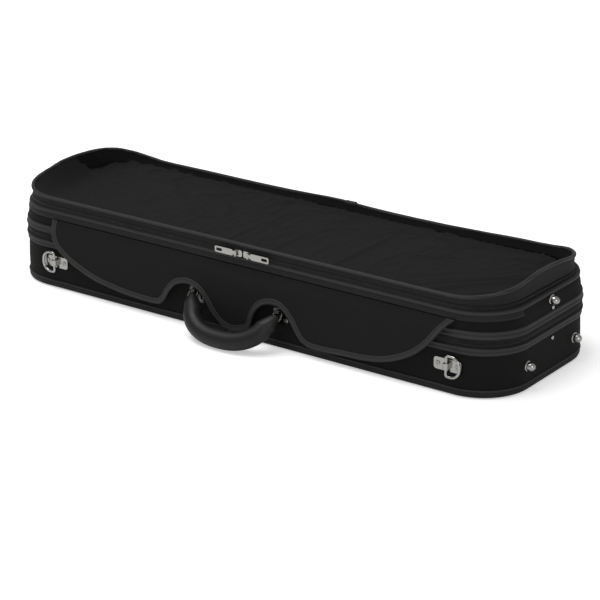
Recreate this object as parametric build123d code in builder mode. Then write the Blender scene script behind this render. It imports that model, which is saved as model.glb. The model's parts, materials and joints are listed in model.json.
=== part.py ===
from build123d import *
import os
from math import atan2, cos, radians, sin

os.makedirs("parts", exist_ok=True)

# A full-size oblong violin case, closed and lying on its base. Millimetres. The origin is the
# centre of the underside, +X runs along the case to the violin's body end, -Y is the side with
# the handle, +Y the hinge side and +Z is up.

# ---------------------------------------------------------------- driving dimensions
# The case as a whole
case_length = 790.0        # outside of the cover, end to end
case_depth = 246.0         # outside of the cover, handle side to hinge side
corner_radius = 66.0       # plan corners of base and lid
cover = 1.2                # canvas over the shell
wall = 6.0                 # shell walls
floor_board = 5.0          # bottom of the base shell
top_board = 4.0            # top of the lid shell
bottom_round = 6.0         # rounding of the cover under the base

# Heights, bottom to top
split_z = 72.0             # where base and lid part, at the zip's coil
split_gap = 0.15           # half of the gap between base and lid
rim_binding = 10.0         # width of the tapes round the base's rim and the lid's
base_zip_width = 5.5       # zip tape that shows below the split
lid_zip_width = 6.0        # and above it
lid_height = 40.5          # from the split to the top of the lid's cover
rim_binding_high = split_z - base_zip_width
rim_binding_low = rim_binding_high - rim_binding
low_binding_low = split_z + lid_zip_width
low_binding_high = low_binding_low + rim_binding
lid_top = split_z + lid_height     # the top of the lid's cover is the pocket's floor
top_binding = 4.5          # height of the tape round the lid's top edge
lid_end_inset = 6.0        # how far each end wall of the lid leans in by its top

# Trim
binding = 2.0              # thickness of the binding tapes
welt_z = 9.0               # centre of the welt round the base's foot
welt_radius = 2.2
coil_out = 1.6             # how far a zip's coil stands out of the cover's face
coil_height = 1.6

# Pocket on the lid
pocket_end_inset = 10.0    # each end, in from the case's end
pocket_back_inset = 4.0    # its back, in from the hinge side; its front is flush
pocket_length = case_length - 2 * pocket_end_inset
pocket_front = case_depth / 2
pocket_back = case_depth / 2 - pocket_back_inset
pocket_radius = 66.0
pocket_wall = 2.0
pocket_sheet = 1.4
piping_radius = 2.6
pocket_front_rise = 16.5   # from the lid's top to the piping's centre line at the front
pocket_back_rise = 4.1     # and at the back
pocket_zip_rise = 5.5      # and to the pocket zip's coil, at the front
pocket_front_z = lid_top + pocket_front_rise
pocket_back_z = lid_top + pocket_back_rise
pocket_zip_z = lid_top + pocket_zip_rise
seam_gap = 0.25            # sewn edges that open against each other

# Flap over the main zip
flap_left = -312.0
flap_right = 331.0
flap_leaning = 14.0        # height of its top part, which leans in to the lid
flap_bend_left = -310.5    # the flap's two ends at that height
flap_bend_right = 321.0
flap_sheet = 1.4
flap_standoff = 7.4        # from the cover's face to the flap's inner face, over the zip
flap_seat = 1.0            # what is left of that at its top edge
flap_lean = flap_standoff - flap_seat
flap_binding = 7.5         # width of the tape along the flap's edge
notch_x = -7.0             # middle of the flap's two arches
notch_span = 70.0          # from there to the middle of each arch
notch_top = split_z - 10.0
lobe_low = 18.5            # lowest point of the lobe, which swings clear of the handle's grip
header = 8.0               # strip that holds the flap's top edge to the lid
header_end = -64.0         # how far back it runs round the front corners
flap_top = lid_top - top_binding - header
flap_bend = flap_top - flap_leaning

# Handle
handle_x = 2.5
handle_span = 68.0         # from the handle's middle to each ring
handle_z = rim_binding_low - 4.5   # the rings' axis
handle_out = 7.0          # from the cover's face to the rings' axis
handle_reach = 55.0        # from the rings' axis to the grip's centre line
handle_angle = 44.5        # how far out it lies from hanging straight down
grip_radius = 12.4
grip_shoulder = 9.0        # its radius just past each ring
grip_end_radius = 5.4
ring_wire = 1.6

# Rings for a shoulder strap
strap_left = -309.0
strap_right = 322.0
strap_z = 39.0
strap_plate = (40.0, 16.0, 2.2)
strap_out = 6.0            # from the cover's face to the ring's pin
strap_ring_height = 31.0
strap_ring_reach = 21.0
strap_wire = 1.9

# Studs and rivets on the ends
stud_y = 58.0
stud_z = 33.0
stud_radius = 6.8
stud_out = 11.5
lid_stud_z = lid_top - 11.5
rivet_y = 2.0
rivet_radius = 2.8
base_rivet_z = rim_binding_low - 5.5
lid_rivet_z = low_binding_high + 3.2
shank_radius = 1.5
shank_length = 5.0

# Hinges and lid stays
hinge_out = 2.6            # from the cover's back face to the hinge axis
hinge_xs = (-230.0, 0.0, 230.0)
knuckle_radius = 2.5
pin_radius = 1.1
pin_clearance = 0.05
leaf = 1.5
leaf_width = 40.0
leaf_reach = 12.0
lid_knuckle = 14.0
knuckle_gap = 0.3
spine_half = 300.0
stay = (1.6, 50.0)         # thickness and width of the folded ribbon
stay_low = base_rivet_z - 7.0
stay_high = lid_rivet_z - 4.2

# Padding and fittings inside
soft_gap = 0.4             # padding stays this far from what is round it
bed_top = rim_binding_low + 1.5
recess_floor = 16.0
lower_bout = (262.0, 106.0)      # centre and radius of the bed's hollows
upper_bout = (104.0, 90.0)
waist_width = 150.0
neck_channel = (-155.0, 60.0, 40.0)   # left end, width and floor
scroll_well = (-222.0, -150.0, 84.0, 26.0)
side_well = (-222.0, -66.0, 46.0, 104.0, 22.0)
box_left = -362.0
box_right = -238.0
box_side = 31.0            # from the cover's face to the box's front and back
box_half = case_depth / 2 - box_side
box_top = 55.0
box_wall = 3.0
box_lid = 3.6
box_radius = 12.0
lining = 6.0
bow_y = 62.0
spinner_x = 268.0
loop_x = -322.0


# ---------------------------------------------------------------- shared shapes
half_length = case_length / 2
half_depth = case_depth / 2
hinge_y = half_depth + hinge_out
lid_side = low_binding_high


def plan(grow=0.0, inset=0.0, mode=Mode.ADD):
    """The plan of the case moved out by grow, with each end drawn in by inset."""
    length = case_length + 2 * (grow - inset)
    RectangleRounded(length, case_depth + 2 * grow, corner_radius + grow, mode=mode)


def lid_inset(z):
    """How far the lid's end walls have leaned in at height z."""
    return max(0.0, lid_end_inset * (z - lid_side) / (lid_top - lid_side))


def prism(grow, low, high):
    """The case's plan moved out by grow, between two heights."""
    with BuildPart() as block:
        with BuildSketch(Plane.XY.offset(low)):
            plan(grow)
        extrude(amount=high - low)
    return block.part


def lid_block(grow, low, high):
    """The lid's form moved out by grow: upright to its side tape, leaning in above it."""
    foot = max(low, lid_side)
    with BuildPart() as block:
        if low < lid_side:
            with BuildSketch(Plane.XY.offset(low)):
                plan(grow)
            extrude(amount=lid_side - low)
        with BuildSketch(Plane.XY.offset(foot)):
            plan(grow, lid_inset(foot))
        with BuildSketch(Plane.XY.offset(high)):
            plan(grow, lid_inset(high))
        loft()
    return block.part


def finish(builder, label):
    """Labels a piece and writes it as one STEP file."""
    builder.part.label = label
    export_step(builder.part, f"parts/{label}.step")


def cut(*pieces):
    """Cuts other pieces out of the sub-part being built."""
    for piece in pieces:
        add(piece, mode=Mode.SUBTRACT)


# ---------------------------------------------------------------- fasteners on the outside
def stud(end, y, z, lean=0.0):
    """A bullet-shaped metal foot whose flange is let into the cover of an end wall."""
    face = Plane(
        origin=(end * (half_length - lean), y, z), x_dir=(0, 1, 0), z_dir=(end, 0, 0)
    )
    with BuildPart() as body:
        with BuildSketch(Plane.XZ):
            with BuildLine():
                neck = Polyline(
                    (0, -shank_length - cover),
                    (shank_radius, -shank_length - cover),
                    (shank_radius, -0.6),
                    (stud_radius, -0.6),
                    (stud_radius, 1.2),
                    (stud_radius - 1.4, 2.0),
                    (stud_radius - 1.0, 3.6),
                )
                Spline(
                    neck @ 1,
                    (stud_radius * 0.62, stud_out - 2.2),
                    (0, stud_out),
                    tangents=((0, 1), (-1, 0)),
                )
                Line((0, stud_out), (0, -shank_length - cover))
            make_face()
        revolve(axis=Axis.Z)
    return face * body.part


def rivet(end, y, z, lean=0.0):
    """A low domed rivet through an end wall."""
    face = Plane(
        origin=(end * (half_length - lean), y, z), x_dir=(0, 1, 0), z_dir=(end, 0, 0)
    )
    with BuildPart() as body:
        with BuildSketch(Plane.XZ):
            with BuildLine():
                Polyline(
                    (0, 1.9),
                    (0, -wall),
                    (shank_radius, -wall),
                    (shank_radius, -0.2),
                    (rivet_radius, -0.2),
                    (rivet_radius, 0.5),
                )
                Spline((rivet_radius, 0.5), (0, 1.9), tangents=((0, 1), (-1, 0)))
            make_face()
        revolve(axis=Axis.Z)
    return face * body.part


def screw(x, z, out):
    """A pan-head screw into the base's front wall; out is its seat's height off the cover."""
    face = Plane(origin=(x, -half_depth - out, z), x_dir=(1, 0, 0), z_dir=(0, -1, 0))
    with BuildPart() as body:
        Cylinder(3.2, 1.3, align=(Align.CENTER, Align.CENTER, Align.MIN))
        fillet(body.edges().sort_by(Axis.Z)[-1], radius=0.8)
        with BuildSketch(Plane.XY.offset(1.3)):
            Rectangle(4.2, 0.8)
            Rectangle(0.8, 4.2)
        extrude(amount=-0.6, mode=Mode.SUBTRACT)
        with Locations((0, 0, 0)):
            Cylinder(
                shank_radius, out + shank_length, align=(Align.CENTER, Align.CENTER, Align.MAX)
            )
    return face * body.part


lid_stud_lean = lid_inset(lid_stud_z)
lid_rivet_lean = lid_inset(lid_rivet_z)
base_studs = [stud(end, side * stud_y, stud_z) for end in (-1, 1) for side in (-1, 1)]
lid_studs = [stud(end, rivet_y, lid_stud_z, lid_stud_lean) for end in (-1, 1)]
base_rivets = [rivet(end, rivet_y, base_rivet_z) for end in (-1, 1)]
lid_rivets = [rivet(end, rivet_y, lid_rivet_z, lid_rivet_lean) for end in (-1, 1)]

with BuildPart() as base_end_studs:
    add(base_studs)
finish(base_end_studs, "base_end_studs")

with BuildPart() as lid_end_studs:
    add(lid_studs)
finish(lid_end_studs, "lid_end_studs")

with BuildPart() as base_stay_rivets:
    add(base_rivets)
finish(base_stay_rivets, "base_stay_rivets")

with BuildPart() as lid_stay_rivets:
    add(lid_rivets)
finish(lid_stay_rivets, "lid_stay_rivets")

# ---------------------------------------------------------------- shoulder strap rings
plate_long, plate_tall, plate_thick = strap_plate
strap_screw_x = plate_long / 2 - 6.0
eye_radius = strap_wire + 0.35
eye_wall = 1.7
eye_height = 8.0
strap_pin_y = -half_depth - strap_out


def strap_plate_part(x):
    """Plate with an upright eye in its middle that holds the ring's straight side."""
    face = Plane(origin=(x, -half_depth, strap_z), x_dir=(1, 0, 0), z_dir=(0, -1, 0))
    with BuildPart() as plate:
        with BuildSketch(face):
            RectangleRounded(plate_long, plate_tall, 4.0)
        extrude(amount=plate_thick)
        with BuildSketch(Plane.XY.offset(strap_z - eye_height / 2)):
            with Locations((x, strap_pin_y)):
                Circle(eye_radius + eye_wall)
            with Locations((x, (strap_pin_y - half_depth - plate_thick / 2) / 2)):
                Rectangle(2 * (eye_radius + eye_wall), strap_out - plate_thick / 2)
        extrude(amount=eye_height)
        with Locations((x, strap_pin_y, strap_z)):
            Cylinder(eye_radius, eye_height + 2, mode=Mode.SUBTRACT)
    return plate.part


def strap_ring_part(x, side):
    """D-ring lying over against the case, towards side."""
    half = strap_ring_height / 2 - strap_wire
    reach = side * (strap_ring_reach - strap_wire)
    bends = [3, 3, 12, 12]
    upright = Plane(origin=(x, strap_pin_y, strap_z), x_dir=(1, 0, 0), z_dir=(0, -1, 0))
    with BuildPart() as ring:
        with BuildLine(upright) as path:
            FilletPolyline(
                (0, -half), (0, half), (reach, half), (reach, -half), radius=bends, close=True
            )
        wire = path.wires()[0]
        with BuildSketch(Plane(origin=wire @ 0, z_dir=wire % 0)):
            Circle(strap_wire)
        sweep(path=wire)
    return ring.part


strap_screws = {}
for label, x, side in (("left", strap_left, -1), ("right", strap_right, 1)):
    strap_screws[label] = [screw(x + k * strap_screw_x, strap_z, plate_thick) for k in (-1, 1)]
    with BuildPart() as strap_plate_piece:
        add(strap_plate_part(x))
        cut(*strap_screws[label])
    finish(strap_plate_piece, f"strap_plate_{label}")
    with BuildPart() as strap_ring_piece:
        add(strap_ring_part(x, side))
    finish(strap_ring_piece, f"strap_ring_{label}")

with BuildPart() as strap_plate_screws:
    add(strap_screws["left"] + strap_screws["right"])
finish(strap_plate_screws, "strap_plate_screws")

# ---------------------------------------------------------------- handle and its brackets
ring_y = -half_depth - handle_out
ring_eye = ring_wire + 0.5
ring_eye_wall = 2.2
bracket_wide, bracket_tall, bracket_thick = 24.0, 20.0, 2.0
bracket_z = rim_binding_low - 1.0 - bracket_tall / 2
neck_wide = 5.0
bracket_screws = []

for label, side in (("left", -1), ("right", 1)):
    x = handle_x + side * handle_span
    seats = [screw(x + k * 8.0, bracket_z - 4.0, bracket_thick) for k in (-1, 1)]
    bracket_screws += seats
    with BuildPart() as handle_bracket:
        with BuildSketch(
            Plane(origin=(x, -half_depth, bracket_z), x_dir=(1, 0, 0), z_dir=(0, -1, 0))
        ):
            RectangleRounded(bracket_wide, bracket_tall, 3.0)
        extrude(amount=bracket_thick)
        with BuildSketch(Plane(origin=(x, 0, 0), x_dir=(0, 1, 0), z_dir=(1, 0, 0))):
            with Locations((ring_y, handle_z)):
                Circle(ring_eye + ring_eye_wall)
            with Locations(((ring_y - half_depth - bracket_thick / 2) / 2, handle_z - 2.0)):
                Rectangle(handle_out - bracket_thick / 2, 5.6)
        extrude(amount=neck_wide / 2, both=True)
        with Locations(Location((x, ring_y, handle_z), (0, 90, 0))):
            Cylinder(ring_eye, neck_wide + 2, mode=Mode.SUBTRACT)
        cut(*seats)
    finish(handle_bracket, f"handle_bracket_{label}")

with BuildPart() as handle_bracket_screws:
    add(bracket_screws)
finish(handle_bracket_screws, "handle_bracket_screws")

# The handle is drawn in its own plane: local X along the case, local Y away from the rings.
lie = radians(handle_angle)
handle_plane = Plane(
    origin=(handle_x, ring_y, handle_z),
    x_dir=(1, 0, 0),
    z_dir=(0, -cos(lie), sin(lie)),
)
ring_long = 16.0
ring_deep = 14.0
grip_start = ring_deep - 2 * ring_wire - 4.5
grip_foot = (handle_span - 10.5, -24.0)      # where the grip has its full thickness
grip_turn = (handle_span - 19.5, -39.5)      # two more points of its arch
grip_low = (handle_span - 42.0, -52.0)

with BuildPart() as handle_grip:
    with BuildLine(handle_plane) as grip_path:
        Spline(
            (-grip_foot[0], grip_foot[1]),
            (-grip_turn[0], grip_turn[1]),
            (-grip_low[0], grip_low[1]),
            (0, -handle_reach),
            grip_low,
            grip_turn,
            grip_foot,
        )
    start = grip_path.wires()[0]
    with BuildSketch(Plane(origin=start @ 0, z_dir=start % 0)):
        Circle(grip_radius)
    sweep(path=start)
    for side in (-1, 1):
        tip = handle_plane.from_local_coords((side * handle_span, -grip_start, 0))
        shoulder = handle_plane.from_local_coords((side * (handle_span - 3.0), -13.5, 0))
        foot = start @ (0 if side < 0 else 1)
        way = start % (0 if side < 0 else 1)
        way = way if side < 0 else -way
        with BuildSketch(Plane(origin=tip, z_dir=(shoulder - tip).normalized())):
            Circle(grip_end_radius)
        with BuildSketch(Plane(origin=shoulder, z_dir=(foot - tip).normalized())):
            Circle(grip_shoulder)
        with BuildSketch(Plane(origin=foot, z_dir=way)):
            Circle(grip_radius)
        loft()
handle_rings = []
for side in (-1, 1):
    with BuildPart() as handle_ring:
        inner_x = side * handle_span - ring_long / 2 + ring_wire
        outer_x = side * handle_span + ring_long / 2 - ring_wire
        far_y = 2 * ring_wire - ring_deep
        with BuildLine(handle_plane) as ring_path:
            FilletPolyline(
                (inner_x, 0), (outer_x, 0), (outer_x, far_y), (inner_x, far_y), radius=3.0, close=True
            )
        wire = ring_path.wires()[0]
        with BuildSketch(Plane(origin=wire @ 0, z_dir=wire % 0)):
            Circle(ring_wire)
        sweep(path=wire)
    handle_rings.append(handle_ring.part)
    finish(handle_ring, "handle_ring_" + ("left" if side < 0 else "right"))

with BuildPart() as grip_with_loops:
    add(handle_grip.part)
    cut(*handle_rings)
finish(grip_with_loops, "handle_grip")

# ---------------------------------------------------------------- base
base_core = prism(-cover, cover, split_z - split_gap)
base_core = fillet(base_core.faces().sort_by(Axis.Z)[0].edges(), radius=bottom_round - cover)
base_fasteners = (
    base_studs + base_rivets + bracket_screws + strap_screws["left"] + strap_screws["right"]
)


def hinge_room(side):
    """Space that the hinges take out of a rim: side is -1 in the base and 1 in the lid."""
    with BuildPart() as room:
        for x in hinge_xs:
            with Locations((x, hinge_y - hinge_out - leaf_reach / 2 + 1, split_z)):
                Box(
                    leaf_width + 0.2,
                    leaf_reach + 2,
                    leaf + 0.4,
                    align=(Align.CENTER, Align.CENTER, Align.MIN if side > 0 else Align.MAX),
                )
            with Locations(Location((x, hinge_y, split_z), (0, 90, 0))):
                Cylinder(knuckle_radius + 0.6, leaf_width + 0.6)
    return room.part


with BuildPart() as base_shell:
    add(base_core)
    with BuildSketch(Plane.XY.offset(cover + floor_board)):
        plan(-cover - wall)
    extrude(amount=split_z, mode=Mode.SUBTRACT)
    cut(hinge_room(-1), *base_fasteners)
finish(base_shell, "base_shell")

with BuildPart() as base_wrap:
    with BuildSketch():
        plan()
    extrude(amount=rim_binding_high)
    fillet(base_wrap.faces().sort_by(Axis.Z)[0].edges(), radius=bottom_round)
    cut(base_core, *base_fasteners)

with BuildPart() as base_cover:
    add(base_wrap.part)
    cut(prism(-bottom_round, -1, cover + 0.5))
finish(base_cover, "base_cover")

with BuildPart() as base_underside:
    add(base_wrap.part & prism(-bottom_round, 0, cover))
finish(base_underside, "base_underside")

with BuildPart() as base_bottom_welt:
    with BuildSketch(Plane.XY.offset(welt_z)):
        plan(welt_radius)
        plan(mode=Mode.SUBTRACT)
    extrude(amount=welt_radius, both=True)
    flats = base_bottom_welt.faces().filter_by(GeomType.PLANE).filter_by(Axis.Z)
    chamfer([edge for flat in flats for edge in flat.outer_wire().edges()], length=1.2)
finish(base_bottom_welt, "base_bottom_welt")

with BuildPart() as base_rim_binding:
    with BuildSketch(Plane.XY.offset(rim_binding_low)):
        plan(binding)
        plan(mode=Mode.SUBTRACT)
    extrude(amount=rim_binding_high - rim_binding_low)
finish(base_rim_binding, "base_rim_binding")

back_span = Plane.XY * Location((0, half_depth, 0)) * Box(2 * spine_half, corner_radius, 300)


def zip_tape(low, high, coil_low):
    """Half of the main zip: tape let in flush with the cover, and its coil standing out."""
    with BuildPart() as half:
        with BuildSketch(Plane.XY.offset(low)):
            plan()
            plan(-cover, mode=Mode.SUBTRACT)
        extrude(amount=high - low)
        with BuildSketch(Plane.XY.offset(coil_low)):
            plan(coil_out)
            plan(-cover, mode=Mode.SUBTRACT)
        extrude(amount=coil_height)
        cut(back_span)
    return half.part


with BuildPart() as base_zip_tape:
    add(zip_tape(rim_binding_high, split_z - split_gap, split_z - split_gap - coil_height))
finish(base_zip_tape, "base_zip_tape")

# ---------------------------------------------------------------- hinges
def hinge_leaf(x, side):
    """One leaf: side is -1 for the base's, with two outer knuckles, and 1 for the lid's."""
    plate_low = split_z + split_gap + 0.1 if side > 0 else split_z - split_gap - 0.1 - leaf
    middle = side > 0
    with BuildPart() as piece:
        with Locations((x, hinge_y, plate_low)):
            Box(
                leaf_width,
                hinge_out + leaf_reach,
                leaf,
                align=(Align.CENTER, Align.MAX, Align.MIN),
            )
        with Locations(Location((x, hinge_y, split_z), (0, 90, 0))):
            Cylinder(knuckle_radius, leaf_width)
        room = knuckle_radius + 0.35
        if middle:
            for end in (-1, 1):
                reach = (leaf_width - lid_knuckle) / 2
                with Locations(
                    Location((x + end * (lid_knuckle + reach) / 2, hinge_y, split_z), (0, 90, 0))
                ):
                    Cylinder(room, reach, mode=Mode.SUBTRACT)
        else:
            with Locations(Location((x, hinge_y, split_z), (0, 90, 0))):
                Cylinder(room, lid_knuckle + 2 * knuckle_gap, mode=Mode.SUBTRACT)
        with Locations(Location((x, hinge_y, split_z), (0, 90, 0))):
            bore = pin_radius + (pin_clearance if middle else 0.0)
            Cylinder(bore, leaf_width + 1, mode=Mode.SUBTRACT)
    return piece.part


with BuildPart() as hinge_base_leaves:
    add([hinge_leaf(x, -1) for x in hinge_xs])
finish(hinge_base_leaves, "hinge_base_leaves")

with BuildPart() as hinge_lid_leaves:
    add([hinge_leaf(x, 1) for x in hinge_xs])
finish(hinge_lid_leaves, "hinge_lid_leaves")

with BuildPart() as hinge_pins:
    for x in hinge_xs:
        with Locations(Location((x, hinge_y, split_z), (0, 90, 0))):
            Cylinder(pin_radius, leaf_width)
finish(hinge_pins, "hinge_pins")

with BuildPart() as hinge_spine:
    with BuildSketch(Plane(origin=(-spine_half, 0, 0), x_dir=(0, 1, 0), z_dir=(1, 0, 0))):
        with Locations((hinge_y, split_z)):
            Circle(knuckle_radius + 3.0)
            Circle(knuckle_radius + 2.0, mode=Mode.SUBTRACT)
        with Locations((hinge_y, split_z)):
            Rectangle(20, 40, align=(Align.MAX, Align.CENTER), mode=Mode.SUBTRACT)
    extrude(amount=2 * spine_half)
finish(hinge_spine, "hinge_spine")

# ---------------------------------------------------------------- lid
lid_core = lid_block(-cover, split_z + split_gap, lid_top - cover)
lid_fasteners = lid_studs + lid_rivets

with BuildPart() as lid_shell:
    add(lid_core)
    cut(
        lid_block(-cover - wall, split_z - 1, lid_top - cover - top_board),
        hinge_room(1),
        *lid_fasteners,
    )
finish(lid_shell, "lid_shell")

with BuildPart() as lid_cover:
    add(lid_block(0, low_binding_low, lid_top))
    cut(lid_core, *lid_fasteners)
finish(lid_cover, "lid_cover")

with BuildPart() as lid_lower_binding:
    with BuildSketch(Plane.XY.offset(low_binding_low)):
        plan(binding)
        plan(mode=Mode.SUBTRACT)
    extrude(amount=low_binding_high - low_binding_low)
finish(lid_lower_binding, "lid_lower_binding")

with BuildPart() as lid_top_binding:
    add(lid_block(binding, lid_top - top_binding, lid_top))
    cut(lid_block(0, lid_side - 1, lid_top))
finish(lid_top_binding, "lid_top_binding")

with BuildPart() as lid_zip_tape:
    add(zip_tape(split_z + split_gap, low_binding_low, split_z + split_gap))
finish(lid_zip_tape, "lid_zip_tape")

# ---------------------------------------------------------------- flap over the main zip


def flap_edge(inset):
    """The flap's outline on the front plane, or its field's: two arches with a lobe between."""
    inner = notch_span - 29
    outer = notch_span + 30
    edge = Spline(
        (flap_bend_left + inset, flap_bend),
        (flap_left + 9 + inset, 67 + 0.3 * inset),
        (flap_left + 28 + 0.8 * inset, 50 + 0.6 * inset),
        (notch_x - 190 + 0.2 * inset, 24 + inset),
        (notch_x - outer - 45, 20.5 + inset),
        (notch_x - outer - 20 - 0.3 * inset, 21.5 + 0.95 * inset),
        (notch_x - outer - 0.85 * inset, 44 + 0.5 * inset),
        (notch_x - notch_span, notch_top + inset),
        (notch_x - inner + 0.8 * inset, 45 + 0.6 * inset),
        (notch_x, lobe_low + inset),
        (notch_x + inner - 0.8 * inset, 45 + 0.6 * inset),
        (notch_x + notch_span, notch_top + inset),
        (notch_x + outer + 0.85 * inset, 44 + 0.5 * inset),
        (notch_x + outer + 20 + 0.3 * inset, 19.5 + 0.95 * inset),
        (notch_x + outer + 45, 16 + inset),
        (notch_x + 207 - 0.1 * inset, 18.5 + inset),
        (flap_right - 88 - 0.4 * inset, 27 + 0.9 * inset),
        (flap_right - 54 - 0.6 * inset, 44 + 0.8 * inset),
        (flap_right - 32 - 0.8 * inset, 63 + 0.6 * inset),
        (flap_bend_right - 1.2 * inset, flap_bend),
    )
    Line(edge @ 1, edge @ 0)


def flap_part(inside, thick, tape):
    """The flap's field, or the tape round it: flat below the bend, leaning in above it."""
    face_y = half_depth + inside
    with BuildPart() as layer:
        with BuildSketch(Plane(origin=(0, -face_y, 0), x_dir=(1, 0, 0), z_dir=(0, -1, 0))):
            with BuildLine():
                flap_edge(0 if tape else flap_binding)
            make_face()
            if tape:
                with BuildLine():
                    flap_edge(flap_binding)
                make_face(mode=Mode.SUBTRACT)
        extrude(amount=thick)
        right_tape = 1.2 * flap_binding
        if tape:
            spans = [
                (flap_left, flap_bend_left, flap_binding),
                (flap_right - right_tape, flap_bend_right - right_tape, right_tape),
            ]
        else:
            spans = [(flap_left + flap_binding, flap_bend_left + flap_binding, 0)]
        for top_x, low_x, width in spans:
            low_wide = width
            top_wide = width
            if not tape:
                low_wide = flap_bend_right - right_tape - low_x
                top_wide = flap_right - right_tape - top_x
            for x, z, y, wide in (
                (low_x, flap_bend, face_y, low_wide),
                (top_x, flap_top, face_y - flap_lean, top_wide),
            ):
                with BuildSketch(Plane.XY.offset(z)):
                    with Locations((x + wide / 2, -y - thick / 2)):
                        Rectangle(wide, thick)
            loft()
    return layer.part


with BuildPart() as front_flap:
    add(flap_part(flap_standoff, flap_sheet, False))
finish(front_flap, "front_flap")

with BuildPart() as front_flap_binding:
    add(flap_part(flap_standoff - 0.3, flap_sheet + 0.8, True))
finish(front_flap_binding, "front_flap_binding")

with BuildPart() as flap_header:
    with BuildSketch(Plane.XY.offset(flap_top + 0.4)):
        plan(binding)
        plan(mode=Mode.SUBTRACT)
    extrude(amount=header)
    with Locations((0, header_end, flap_top)):
        Box(
            case_length + 40,
            case_depth,
            60,
            align=(Align.CENTER, Align.MIN, Align.CENTER),
            mode=Mode.SUBTRACT,
        )
    with Locations((0, 0, lid_top - top_binding)):
        Box(
            case_length + 40,
            case_depth + 40,
            20,
            align=(Align.CENTER, Align.CENTER, Align.MIN),
            mode=Mode.SUBTRACT,
        )
    cut(lid_block(0, lid_side - 1, lid_top))
finish(flap_header, "flap_header")

# ---------------------------------------------------------------- pocket on the lid
pocket_y = (pocket_back - pocket_front) / 2
pocket_depth = pocket_front + pocket_back


def tilted(front_z, back_z):
    """A plane across the pocket, falling from its front to its back."""
    fall = atan2(front_z - back_z, pocket_depth)
    return Plane(
        origin=(0, pocket_y, (front_z + back_z) / 2),
        x_dir=(1, 0, 0),
        z_dir=(0, sin(fall), cos(fall)),
    )


pocket_top_plane = tilted(pocket_front_z, pocket_back_z)
pocket_floor = lid_top + 0.2
zip_plane = tilted(pocket_zip_z, pocket_floor + seam_gap)


def pocket_plan(grow=0.0, mode=Mode.ADD):
    RectangleRounded(
        pocket_length + 2 * grow, pocket_depth + 2 * grow, pocket_radius + grow, mode=mode
    )


def pocket_ring(out):
    """Upright wall round the pocket, taller than it needs to be."""
    with BuildPart() as ring:
        with BuildSketch(Plane.XY.offset(pocket_floor)):
            with Locations((0, pocket_y)):
                pocket_plan(out)
                pocket_plan(-pocket_wall, mode=Mode.SUBTRACT)
        extrude(amount=30)
    return ring.part


with BuildSketch(pocket_top_plane) as piping_line:
    pocket_plan()
piping_path = piping_line.sketch.faces()[0].outer_wire()

with BuildPart() as pocket_piping:
    with BuildSketch(Plane(origin=piping_path @ 0, z_dir=piping_path % 0)):
        Circle(piping_radius)
    sweep(path=piping_path)
finish(pocket_piping, "pocket_piping")

with BuildPart() as pocket_zip_lower:
    add(pocket_ring(0))
    split(bisect_by=zip_plane.offset(-seam_gap), keep=Keep.BOTTOM)
finish(pocket_zip_lower, "pocket_zip_lower")

with BuildPart() as pocket_gusset:
    add(pocket_ring(0))
    split(bisect_by=zip_plane.offset(seam_gap), keep=Keep.TOP)
    split(bisect_by=pocket_top_plane.offset(-pocket_sheet / 2), keep=Keep.BOTTOM)
    cut(pocket_piping.part)
finish(pocket_gusset, "pocket_gusset")

with BuildPart() as pocket_top:
    with BuildSketch(pocket_top_plane.offset(-pocket_sheet / 2)):
        pocket_plan()
    extrude(amount=pocket_sheet)
    cut(pocket_piping.part)
finish(pocket_top, "pocket_top")

# A tab of tape wrapped over the joint in the piping, at the middle of the back edge.
tab_x = 16.0
tab_long = 16.0
with BuildPart() as pocket_tab:
    with BuildSketch(Plane(origin=(tab_x, 0, 0), x_dir=(0, 1, 0), z_dir=(1, 0, 0))):
        with Locations((pocket_back, pocket_back_z)):
            Circle(piping_radius + 1.2)
    extrude(amount=tab_long / 2, both=True)
    cut(pocket_piping.part, pocket_top.part, pocket_gusset.part)
finish(pocket_tab, "pocket_tab")

# ---------------------------------------------------------------- zip sliders and their pulls
slider_long, slider_tall, slider_deep = 12.0, 9.0, 3.4
pull_long, pull_tall, pull_thick = 33.0, 8.5, 1.3
pull_pin = 0.8
pull_pin_clearance = 0.08


def slider_part(x, face_y, z, side):
    """Zip slider on an upright face, with a bridge that holds the pull's pin; side is where
    the pull lies."""
    with BuildPart() as body:
        with Locations((x, face_y, z)):
            Box(slider_long, slider_deep, slider_tall, align=(Align.CENTER, Align.MAX, Align.CENTER))
        fillet(body.edges().filter_by(Axis.Y), radius=2.5)
        pin_x = x + side * (slider_long / 2 - 3.0)
        pin_y = face_y - slider_deep - 2.0
        with Locations((pin_x, pin_y, z)):
            Cylinder(pull_pin, 5.0)
        for end in (-1, 1):
            with Locations((pin_x, face_y - slider_deep + 0.6, z + end * 3.2)):
                Box(3.4, 4.1, 1.4, align=(Align.CENTER, Align.MAX, Align.CENTER))
    return body.part


def pull_part(x, face_y, z, side):
    """Flat pull with a slot at its free end, lying along the zip towards side."""
    pin_x = x + side * (slider_long / 2 - 3.0)
    pin_y = face_y - slider_deep - 2.0
    end = side * pull_long
    with BuildPart() as body:
        face = Plane(origin=(pin_x, pin_y + pull_thick / 2, z), x_dir=(1, 0, 0), z_dir=(0, -1, 0))
        with BuildSketch(face):
            with Locations((end / 2 + side * 2.0, 0)):
                RectangleRounded(pull_long - 4.0, pull_tall, 2.2)
            with Locations((side * 3.0, 0)):
                Rectangle(6.0, 4.4)
            with Locations((end - side * 7.0, 0)):
                RectangleRounded(9.0, 4.0, 1.2, mode=Mode.SUBTRACT)
        extrude(amount=pull_thick)
        with Locations((pin_x, pin_y, z)):
            Cylinder(pull_pin + pull_pin_clearance + 0.7, 4.4)
            Cylinder(pull_pin + pull_pin_clearance, 8.0, mode=Mode.SUBTRACT)
    return body.part


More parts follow.
